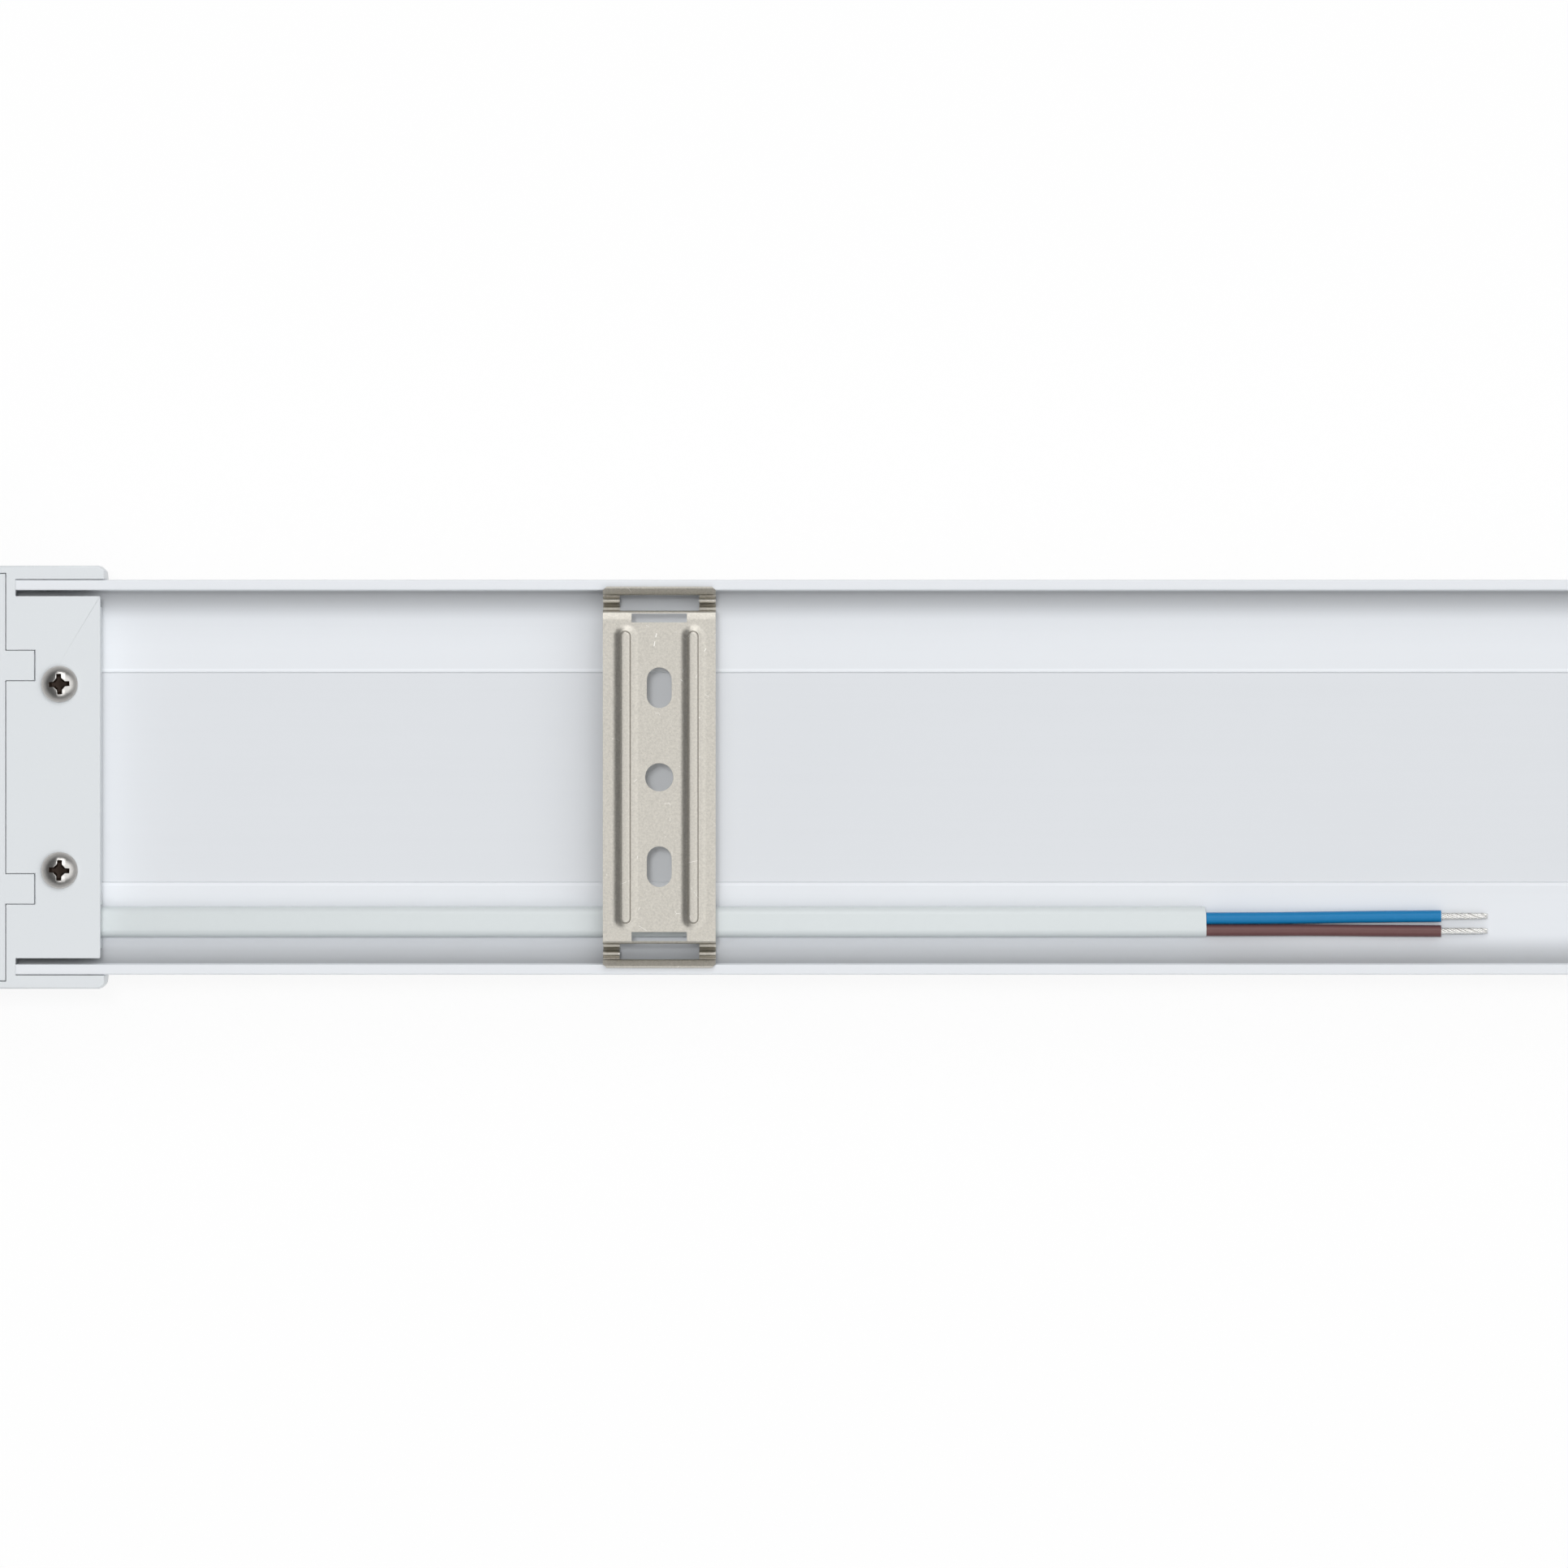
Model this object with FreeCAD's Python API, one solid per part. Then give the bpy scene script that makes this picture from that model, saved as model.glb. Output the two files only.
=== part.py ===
import FreeCAD, Part
import math
import os

# Surface-mounted LED batten lamp, lying on its front with the ceiling side up.
# X runs along the lamp, Y across it, Z up from the front faces of the end caps.
# Sizes are in millimetres.

V = FreeCAD.Vector

# --- Driving dimensions -------------------------------------------------------------

# Whole lamp
lamp_length = 600.0
lamp_depth = 25.0  # front of the caps to the ceiling side of the housing's lips

# Housing extrusion
housing_width = 70.0
wall = 1.0
lip_reach = 1.85  # outer face to the lip's free edge
lip_thickness = 1.0
channel_depth = 7.0
channel_fillet = 3.5
floor_thickness = 1.2
centre_drop = 0.2  # how far the middle of the floor lies below its sides
crease_y = 19.0
crease_width = 0.5
crease_height = 0.12
skirt_depth = 13.0  # lip face to the lower edge of the side walls
groove_width = 1.2
groove_depth = 4.0
groove_rib = 0.6
catch_reach = 0.35
catch_thickness = 1.0

# Rails under the floor that hold the LED boards
board_width = 9.0
board_thickness = 1.0
board_y = 21.5
board_end_gap = 11.0  # housing end to board end
rail_thickness = 0.8
rail_hook = 0.7
rail_play = 0.1

# Diffuser
diffuser_wall = 1.2
diffuser_corner = 9.2
diffuser_play = 0.1

# End caps
cap_side = 2.5  # how far a cap stands out past the housing's side
cap_reach = 24.0  # lamp end to the inner edge of the cap's back plate
wing_overhang = 0.65
wing_chamfer = 0.8
end_bevel = 0.5
cap_play = 0.1
cap_front = 1.7  # thickness of the sleeve over the diffuser's front
cap_corner = 11.0
bulkhead_x = 9.0  # lamp end to the bulkhead's inner face
bulkhead_thickness = 1.7
plate_thickness = 1.8
plate_gap = 2.9  # housing's outer face to the back plate's edge
skirt_wall = 1.5
boss_radius = 3.0
cover_wall = 1.5
cover_rim = 1.3  # frame wall left around the end cover
parting_gap = 0.1
tab_length = 5.1
tab_width = 5.3
tab_thickness = 1.2
tab_y = 19.8

# Screws that hold the caps
screw_inset = 16.8  # lamp end to the screw axis
screw_y = 16.5
head_diameter = 6.5
head_height = 1.9
shank_diameter = 3.2
screw_length = 10.0
screw_clearance = 0.2
recess_span = 3.5
recess_slot = 0.9
recess_depth = 1.1

# Mounting clips
clip_x = 176.9  # lamp middle to clip middle
clip_width = 20.0
clip_sheet = 0.5
clip_lift = 1.0  # lip face to the underside of the clip's plate
clip_kink_drop = 0.25
clip_foot_gap = 0.5  # channel floor to the lowest point of the spring legs
clip_kink = -5.20  # this and the next: the bends' places, measured from the lip's free edge
clip_wall = -3.88
clip_ridge = -1.95
clip_valley = -1.15
clip_catch = 0.05
clip_neck = -0.65
clip_flange = 0.47
clip_window = 14.1
relief_window = 9.8
relief_reach = 1.6
flange_chamfer = 1.5
clip_hole = 5.0
slot_width = 4.4
slot_length = 7.2
slot_spacing = 31.7
rib_spacing = 12.0
rib_width = 1.94
rib_length = 51.9
rib_height = 0.7

# Supply lead
sheath_width = 5.4
sheath_height = 3.3
lead_inset = 8.36  # wall's inner face to the lead's middle
sheath_length = 211.0
core_diameter = 2.1
strand_diameter = 1.1
clamp_width = 4.2
clamp_top = 1.1  # clamp block over the lead
clamp_wall = 1.0
clamp_play = 0.05
clamp_screw_y = -20.4
clamp_head_diameter = 3.4
clamp_head_height = 1.1
clamp_shank_diameter = 1.9

# LED chips
chip_length = 3.5
chip_width = 2.8
chip_height = 0.7
chip_pitch = 12.0
chip_dome = 2.2

# Driver
driver_x = -199.0
driver_length = 118.0
driver_width = 26.0
driver_gap = 1.4  # diffuser's inner face to the driver's cover
driver_wall = 1.5
tape_thickness = 1.0
tape_margin = 4.0
driver_board_length = 110.0
driver_board_width = 21.0
driver_board_thickness = 1.6
board_post = 3.0
board_post_height = 1.1
part_gap = 0.3  # tallest parts to the cover's inner face
wire_diameter = 1.3
wire_port = 3.2
connector_length = 8.0
connector_width = 5.0
connector_height = 3.2
connector_x = -122.0
link_x = 268.0

# --- Places worked out from them ----------------------------------------------------

half_length = lamp_length / 2
half_housing = housing_width / 2
half_cap = half_housing + cap_side
lip_top = lamp_depth
floor_top = lip_top - channel_depth
floor_under = floor_top - floor_thickness
centre_top = floor_top - centre_drop
wall_inner = half_housing - wall
lip_edge = half_housing - lip_reach
lip_under = lip_top - lip_thickness
skirt_bottom = lip_top - skirt_depth
diffuser_front = cap_front + cap_play
diffuser_top = skirt_bottom - diffuser_play
front_corner = min(diffuser_corner, diffuser_top - diffuser_front - 0.3)
housing_end = half_length - bulkhead_x
plate_edge = half_length - cap_reach
screw_x = half_length - screw_inset
board_end = housing_end - board_end_gap
clip_plate_bottom = lip_top + clip_lift
clip_plate_top = clip_plate_bottom + clip_sheet
lead_y = lead_inset - wall_inner
lead_z = floor_top + sheath_height / 2
sheath_start = -housing_end + 0.2
sheath_end = sheath_start + sheath_length
driver_top = floor_under - tape_thickness
driver_bottom = diffuser_front + diffuser_wall + driver_gap
driver_split = (driver_bottom + driver_top) / 2
parts_side = driver_top - driver_wall - board_post_height - driver_board_thickness
tall_part = parts_side - driver_bottom - driver_wall - part_gap
driver_left = driver_x - driver_length / 2
driver_right = driver_x + driver_length / 2

nodes = {}


def add(name, shape):
    """Keeps a shape as one node."""
    nodes[name] = shape


# --- Shape helpers ------------------------------------------------------------------


def corner(before, point, after, radius):
    """Start, middle and end of the arc that rounds one corner of a path."""
    a = (before - point).normalize()
    b = (after - point).normalize()
    half = a.getAngle(b) / 2
    inward = (a + b).normalize()
    centre = point + inward * (radius / math.sin(half))
    reach = radius / math.tan(half)
    return point + a * reach, centre - inward * radius, point + b * reach


def path_edges(points, radii, closed):
    """Straight runs joined by tangent arcs through a list of points."""
    count = len(points)
    arcs = []
    for i, point in enumerate(points):
        inner = closed or 0 < i < count - 1
        if inner and radii[i] > 0:
            arcs.append(corner(points[i - 1], point, points[(i + 1) % count], radii[i]))
        else:
            arcs.append((point, None, point))
    edges = []
    for i, (start, middle, end) in enumerate(arcs):
        if middle is not None:
            edges.append(Part.Arc(start, middle, end).toShape())
        if i < count - 1 or closed:
            follow = arcs[(i + 1) % count][0]
            if (follow - end).Length > 1e-6:
                edges.append(Part.LineSegment(end, follow).toShape())
    return edges


def section(outline, x):
    """A face across the lamp at x, from (y, z, corner radius) points."""
    points = [V(x, y, z) for y, z, r in outline]
    radii = [r for y, z, r in outline]
    return Part.Face(Part.Wire(path_edges(points, radii, True)))


def along_x(outline, x0, x1):
    """A solid with that section from x0 to x1."""
    return section(outline, x0).extrude(V(x1 - x0, 0, 0))


def both_sides(half):
    """A closed outline from its +Y half, listed from the middle outwards and back."""
    return half + [(-y, z, r) for y, z, r in reversed(half)]


def box(x0, x1, y0, y1, z0, z1):
    """A box between two corners."""
    low = V(min(x0, x1), min(y0, y1), min(z0, z1))
    return Part.makeBox(abs(x1 - x0), abs(y1 - y0), abs(z1 - z0), low)


def rod(x, y, z0, z1, diameter):
    """An upright cylinder."""
    return Part.makeCylinder(diameter / 2, z1 - z0, V(x, y, z0), V(0, 0, 1))


def lying_rod(x0, x1, y, z, diameter):
    """A cylinder along X."""
    return Part.makeCylinder(diameter / 2, x1 - x0, V(x0, y, z), V(1, 0, 0))


def slot_bar(x, y, length, width, z0, z1):
    """An upright bar with a stadium section, long along Y."""
    half = (length - width) / 2
    low = rod(x, y - half, z0, z1, width)
    high = rod(x, y + half, z0, z1, width)
    middle = box(x - width / 2, x + width / 2, y - half, y + half, z0, z1)
    return low.fuse([high, middle]).removeSplitter()


def ribbon(points, radii, thickness):
    """The closed outline of a bent sheet from its middle line in Y and Z."""
    count = len(points)
    normals = []
    for (y0, z0), (y1, z1) in zip(points, points[1:]):
        run = math.hypot(y1 - y0, z1 - z0)
        normals.append((-(z1 - z0) / run, (y1 - y0) / run))
    left = []
    right = []
    for i, (y, z) in enumerate(points):
        ny0, nz0 = normals[max(i - 1, 0)]
        ny1, nz1 = normals[min(i, count - 2)]
        stretch = thickness / 2 / (1 + ny0 * ny1 + nz0 * nz1)
        dy = (ny0 + ny1) * stretch
        dz = (nz0 + nz1) * stretch
        turn = ny0 * nz1 - nz0 * ny1
        bent = 0 < i < count - 1
        inner = radii[i] - thickness / 2 if bent else 0
        outer = radii[i] + thickness / 2 if bent else 0
        left.append((y + dy, z + dz, inner if turn > 0 else outer))
        right.append((y - dy, z - dz, outer if turn > 0 else inner))
    return left + right[::-1]


def tube(name, points, diameter, share=0.45):
    """A round cord along straight runs and tangent arcs, with its radii printed."""
    route = [V(*p) for p in points]
    radii = [0.0]
    for before, point, after in zip(route, route[1:], route[2:]):
        shorter = min((point - before).Length, (after - point).Length)
        turn = math.pi - (before - point).getAngle(after - point)
        radii.append(share * shorter / math.tan(turn / 2))
    radii.append(0.0)
    path = Part.Wire(path_edges(route, radii, False))
    start = (route[1] - route[0]).normalize()
    ring = Part.Wire(Part.makeCircle(diameter / 2, route[0], start))
    solid = path.makePipeShell([ring], True, True)
    wanted = math.pi * diameter**2 / 4 * path.Length
    text = ", ".join(f"{r:.1f}" for r in radii[1:-1])
    print(f"{name}: length {path.Length:.1f} mm, radii {text} mm, ", end="")
    print(f"volume {solid.Volume:.2f} of {wanted:.2f} mm3")
    return solid


def mirrored(shape):
    """The same shape on the other half of the lamp."""
    return shape.mirror(V(0, 0, 0), V(1, 0, 0))


# --- Housing ------------------------------------------------------------------------


def rail_outline(side):
    """One rail under the floor, from the middle of the lamp outwards."""
    edge = board_y + side * (board_width / 2 + rail_play)
    back = edge + side * rail_thickness
    hook = edge - side * rail_hook
    hook_top = floor_under - board_thickness - rail_play
    hook_bottom = hook_top - rail_thickness
    points = [
        (edge, floor_under, 0),
        (edge, hook_top, 0),
        (hook, hook_top, 0),
        (hook, hook_bottom, 0),
        (back, hook_bottom, 0.2),
        (back, floor_under, 0),
    ]
    return points if side > 0 else points[::-1]


def housing_outline():
    """Half of the extrusion's section, anticlockwise from the middle of the floor."""
    groove_inner = wall_inner - groove_width
    groove_top = skirt_bottom + groove_depth
    rib_bottom = skirt_bottom + 0.5
    catch_edge = groove_inner + catch_reach
    rib_back = groove_inner - groove_rib
    top = [
        (crease_y - crease_width, centre_top, 0),
        (crease_y - crease_width / 2, floor_top + crease_height, 0.1),
        (crease_y + crease_width / 2, floor_top, 0),
        (wall_inner, floor_top, channel_fillet),
        (wall_inner, lip_under, 0),
        (lip_edge, lip_under, 0),
        (lip_edge, lip_top, 0.3),
        (half_housing, lip_top, 0.35),
    ]
    groove = [
        (half_housing, skirt_bottom, 0.2),
        (wall_inner, skirt_bottom, 0),
        (wall_inner, groove_top, 0),
        (groove_inner, groove_top, 0),
        (groove_inner, rib_bottom + catch_thickness, 0),
        (catch_edge, rib_bottom + catch_thickness, 0),
        (catch_edge, rib_bottom, 0),
        (rib_back, rib_bottom, 0.2),
        (rib_back, floor_under, 0),
    ]
    return top + groove + rail_outline(1)[::-1] + rail_outline(-1)[::-1]


def make_housing():
    body = along_x(both_sides(housing_outline()), -housing_end, housing_end)
    cuts = []
    relief_edge = wall_inner - groove_width - groove_rib
    for side in (-1, 1):
        cuts.append(box(
            side * (board_end + 0.5), side * (housing_end + 1),
            -relief_edge, relief_edge, skirt_bottom, floor_under,
        ))
        for y in (-screw_y, screw_y):
            cuts.append(rod(side * screw_x, y, floor_under - 5, lip_top, shank_diameter))
    cuts.append(rod(clamp_screw_x, clamp_screw_y, floor_under - 5, lip_top, clamp_shank_diameter))
    add("housing", body.cut(cuts))


# --- Diffuser -----------------------------------------------------------------------


def make_diffuser():
    top = diffuser_top
    tongue_outer = wall_inner - diffuser_play
    groove_inner = wall_inner - groove_width
    tongue_inner = groove_inner + catch_reach + diffuser_play
    bead_inner = groove_inner + 0.15
    bead_bottom = skirt_bottom + 0.5 + catch_thickness + 0.4
    tongue_top = skirt_bottom + groove_depth - 0.4
    inside = half_housing - diffuser_wall
    outer = [
        (half_housing, diffuser_front, front_corner),
        (half_housing, top, 0.2),
        (tongue_outer, top, 0),
        (tongue_outer, tongue_top, 0.2),
        (bead_inner, tongue_top, 0.2),
        (bead_inner, bead_bottom, 0),
        (tongue_inner, bead_bottom - 0.3, 0),
        (tongue_inner, top - 0.2, 0),
        (inside, top - 0.75, 0),
        (inside, diffuser_front + diffuser_wall, front_corner - diffuser_wall),
    ]
    add("diffuser", along_x(both_sides(outer), -housing_end, housing_end))


# --- End caps -----------------------------------------------------------------------


def sleeve_outline(half_width, front, radius, top):
    """A U-shaped outline, open side up."""
    right = [(half_width, front, radius), (half_width, top, 0)]
    return both_sides(right)


def cap_wire(x, inset):
    """The cap's outer outline at x, drawn in at the sides and the front."""
    half = half_cap - inset
    outline = both_sides([(half, inset, cap_corner - inset), (half, lamp_depth, 0.4)])
    return section(outline, x).OuterWire


def cap_block(x0, x1):
    """The cap's outer shape, with its open end bevelled and its outer end eased."""
    stations = [
        (x0, wing_chamfer),
        (x0 + wing_chamfer, 0),
        (x1 - end_bevel, 0),
        (x1, end_bevel),
    ]
    wires = [cap_wire(x, inset) for x, inset in stations]
    return Part.makeLoft(wires, True, True)


def make_end_frame():
    """The right-hand cap moulding; the left one is its mirror image."""
    above = lamp_depth + 5
    wing_end = plate_edge - wing_overhang
    body = cap_block(wing_end, half_length)
    sleeve = sleeve_outline(
        half_housing + cap_play, cap_front, front_corner + cap_play, above
    )
    outer_face = housing_end + bulkhead_thickness
    pocket = sleeve_outline(half_cap - cover_rim, cover_rim, cap_corner - cover_rim, above)
    body = body.cut([
        along_x(sleeve, wing_end - 1, housing_end),
        along_x(pocket, outer_face, half_length + 1),
    ])

    plate_half = half_housing - plate_gap
    plate_bottom = lamp_depth - plate_thickness
    plate = box(plate_edge, housing_end + 0.5, -plate_half, plate_half, plate_bottom, lamp_depth)
    plate = plate.makeFillet(0.3, [e for e in plate.Edges if upright_at(e, plate_edge)])
    skirt_half = wall_inner - channel_fillet - 0.2
    skirt_low = floor_top + 0.2
    skirt = box(
        plate_edge, plate_edge + skirt_wall, -skirt_half, skirt_half,
        skirt_low, plate_bottom + 0.5,
    )
    bosses = [
        rod(screw_x, y, floor_top + crease_height, plate_bottom + 0.5, 2 * boss_radius)
        for y in (-screw_y, screw_y)
    ]
    body = body.fuse([plate, skirt] + bosses)

    cuts = [
        rod(screw_x, y, floor_under, above, shank_diameter + 2 * screw_clearance)
        for y in (-screw_y, screw_y)
    ]
    lead_half = sheath_width / 2 + 0.3
    lead_top = floor_top + sheath_height + 0.3
    cuts.append(box(
        plate_edge - 1, plate_edge + skirt_wall + 1,
        lead_y - lead_half, lead_y + lead_half, floor_top, lead_top,
    ))
    cuts.append(box(
        housing_end - 1, outer_face + 1,
        lead_y - lead_half, lead_y + lead_half, floor_top, lead_top,
    ))
    cuts.append(box(
        housing_end - 1, outer_face + 1,
        lead_y - lead_half, -driver_width / 2 + 4,
        diffuser_front + diffuser_wall + 1, floor_under - 2,
    ))
    for y in (-tab_y, tab_y):
        cuts.append(box(
            outer_face - tab_length - parting_gap, outer_face + 1,
            y - tab_width / 2 - parting_gap, y + tab_width / 2 + parting_gap,
            lamp_depth - tab_thickness, above,
        ))
    return body.cut(cuts)


def upright_at(edge, x):
    """Whether an edge stands upright at x."""
    low = edge.BoundBox
    flat = low.XLength < 1e-6 and low.YLength < 1e-6
    return flat and abs(low.XMin - x) < 1e-6


def make_end_cover():
    """The plug that closes the right-hand frame, with its two tabs."""
    inner_x = housing_end + bulkhead_thickness + parting_gap
    half = half_cap - cover_rim - parting_gap
    front = cover_rim + parting_gap
    radius = cap_corner - front
    outer = both_sides([(half, front, radius), (half, lamp_depth, 0.3)])
    hollow = both_sides([
        (half - cover_wall, front + cover_wall, radius - cover_wall),
        (half - cover_wall, lamp_depth - cover_wall, 0.5),
    ])
    body = along_x(outer, inner_x, half_length)
    body = body.cut(along_x(hollow, inner_x - 1, half_length - cover_wall))
    tabs = [
        box(
            inner_x - tab_length, inner_x + cover_wall,
            y - tab_width / 2, y + tab_width / 2, lamp_depth - tab_thickness, lamp_depth,
        )
        for y in (-tab_y, tab_y)
    ]
    return body.fuse(tabs).removeSplitter()


def make_screw(x, y, seat, head, height, shank, length, span, slot, depth):
    """A pan-head screw with a cross recess, its head's underside at seat."""
    profile = [
        V(0, 0, -length),
        V(shank / 2, 0, -length + shank / 2),
        V(shank / 2, 0, 0),
        V(head / 2, 0, 0),
        V(head / 2, 0, height * 0.3),
    ]
    side = Part.makePolygon(profile)
    dome = Part.Arc(profile[-1], V(head * 0.33, 0, height * 0.84), V(0, 0, height)).toShape()
    axis = Part.LineSegment(V(0, 0, height), V(0, 0, -length)).toShape()
    solid = Part.Face(Part.Wire(side.Edges + [dome, axis])).revolve(V(0, 0, 0), V(0, 0, 1), 360)
    low = height - depth
    cross = [
        box(-span / 2, span / 2, -slot / 2, slot / 2, low, height + 1),
        box(-slot / 2, slot / 2, -span / 2, span / 2, low, height + 1),
        Part.makeCone(slot * 0.4, slot, depth + 0.5, V(0, 0, low - 0.3)),
    ]
    solid = solid.cut(cross)
    solid.translate(V(x, y, seat))
    return solid


def make_caps():
    frame = make_end_frame()
    cover = make_end_cover()
    screws = Part.makeCompound([
        make_screw(
            screw_x, y, lamp_depth, head_diameter, head_height, shank_diameter,
            screw_length, recess_span, recess_slot, recess_depth,
        )
        for y in (-screw_y, screw_y)
    ])
    add("end_frame_right", frame)
    add("end_cover_right", cover)
    add("end_screws_right", screws)
    add("end_frame_left", mirrored(frame))
    add("end_cover_left", mirrored(cover))
    add("end_screws_left", mirrored(screws))


# --- Mounting clips -----------------------------------------------------------------


def clip_line():
    """The middle line of half the clip's sheet, with the radius at each bend."""
    plate_z = clip_plate_bottom + clip_sheet / 2
    foot = floor_top + clip_foot_gap + clip_sheet / 2
    return [
        (lip_edge + clip_kink, plate_z, 1.0),
        (lip_edge + clip_wall, plate_z - clip_kink_drop, 0.45),
        (lip_edge + clip_wall, foot, 0.5),
        (lip_edge + clip_ridge - 0.7, foot, 0.5),
        (lip_edge + clip_ridge, lip_under - 0.6, 0.4),
        (lip_edge + clip_valley, lip_under - 2.8, 0.4),
        (lip_edge + clip_catch, lip_under - 1.2, 0.4),
        (lip_edge + clip_neck, lip_under + 0.3, 0.5),
        (lip_edge + clip_neck, lip_top + 0.05, 0.45),
        (lip_edge + clip_flange, lip_top + 1.0, 0),
    ]


def make_clip():
    """One spring clip with its middle at x = 0."""
    half = clip_line()
    line = [(-y, z, r) for y, z, r in reversed(half)] + half
    sheet = ribbon([(y, z) for y, z, r in line], [r for y, z, r in line], clip_sheet)
    body = along_x(sheet, -clip_width / 2, clip_width / 2)

    wall_face = lip_edge + clip_wall - clip_sheet / 2
    window_top = lip_under + 0.4
    low = floor_top - 1
    high = clip_plate_top + 5
    outer = lip_edge + clip_flange + 1
    cuts = []
    for side in (-1, 1):
        cuts.append(box(
            -relief_window / 2, relief_window / 2,
            side * (wall_face - relief_reach), side * wall_face, lip_top, high,
        ))
        cuts.append(box(
            -clip_window / 2, clip_window / 2,
            side * (wall_face - 0.2), side * outer, low, window_top,
        ))
        for end in (-1, 1):
            tip = V(end * (clip_width / 2 + 0.1), side * outer, lip_top - 0.2)
            inner = V(end * (clip_width / 2 - flange_chamfer), side * outer, lip_top - 0.2)
            root = V(end * (clip_width / 2 + 0.1), side * (lip_edge + clip_neck + 0.5), lip_top - 0.2)
            face = Part.Face(Part.makePolygon([tip, inner, root, tip]))
            cuts.append(face.extrude(V(0, 0, high - lip_top)))
    cuts.append(rod(0, 0, low, high, clip_hole))
    for side in (-1, 1):
        cuts.append(slot_bar(0, side * slot_spacing / 2, slot_length, slot_width, low, high))

    for side in (-1, 1):
        x = side * rib_spacing / 2
        bead = slot_bar(x, 0, rib_length, rib_width, clip_plate_top - 0.2, clip_plate_top + rib_height)
        crown = [e for e in bead.Edges if e.BoundBox.ZMin > clip_plate_top + rib_height - 1e-4]
        body = body.fuse(bead.makeFillet(0.35, crown))
        thin = rib_width - 2 * clip_sheet
        top = clip_plate_top + rib_height - clip_sheet
        cuts.append(slot_bar(x, 0, rib_length - 2 * clip_sheet, thin, low, top))
    return body.cut(cuts)


def make_clips():
    clip = make_clip()
    for name, side in (("mounting_clip_left", -1), ("mounting_clip_right", 1)):
        copy = clip.copy()
        copy.translate(V(side * clip_x, 0, 0))
        add(name, copy)


# --- Supply lead --------------------------------------------------------------------

clamp_left = -housing_end + 0.5
clamp_right = clamp_left + clamp_width
clamp_screw_x = (clamp_left + clamp_right) / 2
core_gap = 2.2  # middle to middle of the two cores inside the lamp

# Routes of the cores that lie in the channel, as steps from the end of the sheath.
blue_steps = [
    (0.0, 0.59, 0.0),
    (8.0, 0.59, 0.0),
    (19.0, 0.72, -0.58),
    (31.0, 0.90, -0.60),
    (41.7, 0.97, -0.59),
]
brown_steps = [
    (0.0, -1.54, 0.0),
    (8.5, -1.54, 0.0),
    (20.0, -1.52, -0.59),
    (31.5, -1.64, -0.60),
    (41.7, -1.69, -0.58),
]


def from_sheath_end(steps):
    return [(sheath_end + x, lead_y + y, lead_z + z) for x, y, z in steps]


def make_sheath(name, x0, x1):
    """The flat sheath: round edges, flat where it lies on the floor."""
    half = sheath_width / 2
    radius = sheath_height / 2 - 0.05
    low = lead_z - sheath_height / 2
    high = lead_z + sheath_height / 2
    outline = [
        (lead_y + half, low, radius),
        (lead_y + half, high, radius),
        (lead_y - half, high, radius),
        (lead_y - half, low, radius),
    ]
    add(name, along_x(outline, x0, x1))


def make_strands(name, steps):
    """Bare tinned strands on the end of a core, drooping a little."""
    x, y, z = from_sheath_end(steps)[-1]
    route = [(x, y, z), (x + 4.2, y + 0.05, z - 0.05), (x + 8.3, y + 0.05, z - 0.3)]
    add(name, tube(name, route, strand_diameter))


def make_lead():
    make_sheath("lead_sheath", sheath_start, sheath_end)
    for colour, steps in (("blue", blue_steps), ("brown", brown_steps)):
        name = "lead_core_" + colour
        add(name, tube(name, from_sheath_end(steps), core_diameter))
        make_strands("lead_strands_" + colour, steps)


def make_inner_cores():
    """The cores go round the end of the housing and in to the driver."""
    turn_x = -(half_length - cover_wall - core_diameter / 2 - 0.6)
    low_z = floor_under - 6.6
    port_x = driver_left + driver_wall
    port_z = parts_side - tall_part / 2
    for colour, side, drop in (("blue", 1, 0.0), ("brown", -1, 2.8)):
        y = lead_y + side * core_gap / 2
        port_y = side * terminal_pitch / 2
        name = "inner_core_" + colour
        route = [
            (sheath_start, y, lead_z),
            (turn_x, y, lead_z),
            (turn_x, y, low_z),
            (turn_x + 11.0, y + 0.8, low_z - 0.6 - drop / 2),
            (turn_x + 22.0, y + 8.5, low_z - 0.4 - drop),
            (port_x - 9.0, port_y - 1.2, port_z + 0.3 - drop / 3),
            (port_x, port_y, port_z),
        ]
        add(name, tube(name, route, core_diameter))


def make_clamp():
    half = sheath_width / 2 + clamp_play
    outer = lead_y - half - clamp_wall + 0.2
    inner = -crease_y + 1.6
    top = floor_top + sheath_height + clamp_top
    block = box(clamp_left, clamp_right, outer, inner, floor_top, top)
    groove_edge = -crease_y - crease_width - 0.1
    head_seat = top - clamp_head_height - 0.1
    cuts = [
        box(
            clamp_left - 1, clamp_right + 1, lead_y - half, lead_y + half,
            floor_top - 1, floor_top + sheath_height + clamp_play,
        ),
        box(
            clamp_left - 1, clamp_right + 1, groove_edge, inner + 1,
            floor_top - 1, floor_top + crease_height + 0.1,
        ),
        rod(
            clamp_screw_x, clamp_screw_y, floor_top - 1, top + 1,
            clamp_shank_diameter + screw_clearance,
        ),
        rod(
            clamp_screw_x, clamp_screw_y, head_seat, top + 1,
            clamp_head_diameter + screw_clearance,
        ),
    ]
    add("cord_clamp", block.cut(cuts))
    length = head_seat - floor_under + 2.0
    add("cord_clamp_screw", make_screw(
        clamp_screw_x, clamp_screw_y, head_seat, clamp_head_diameter, clamp_head_height,
        clamp_shank_diameter, length, 1.9, 0.5, 0.6,
    ))


# --- LED boards ---------------------------------------------------------------------

board_under = floor_under - board_thickness


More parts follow.
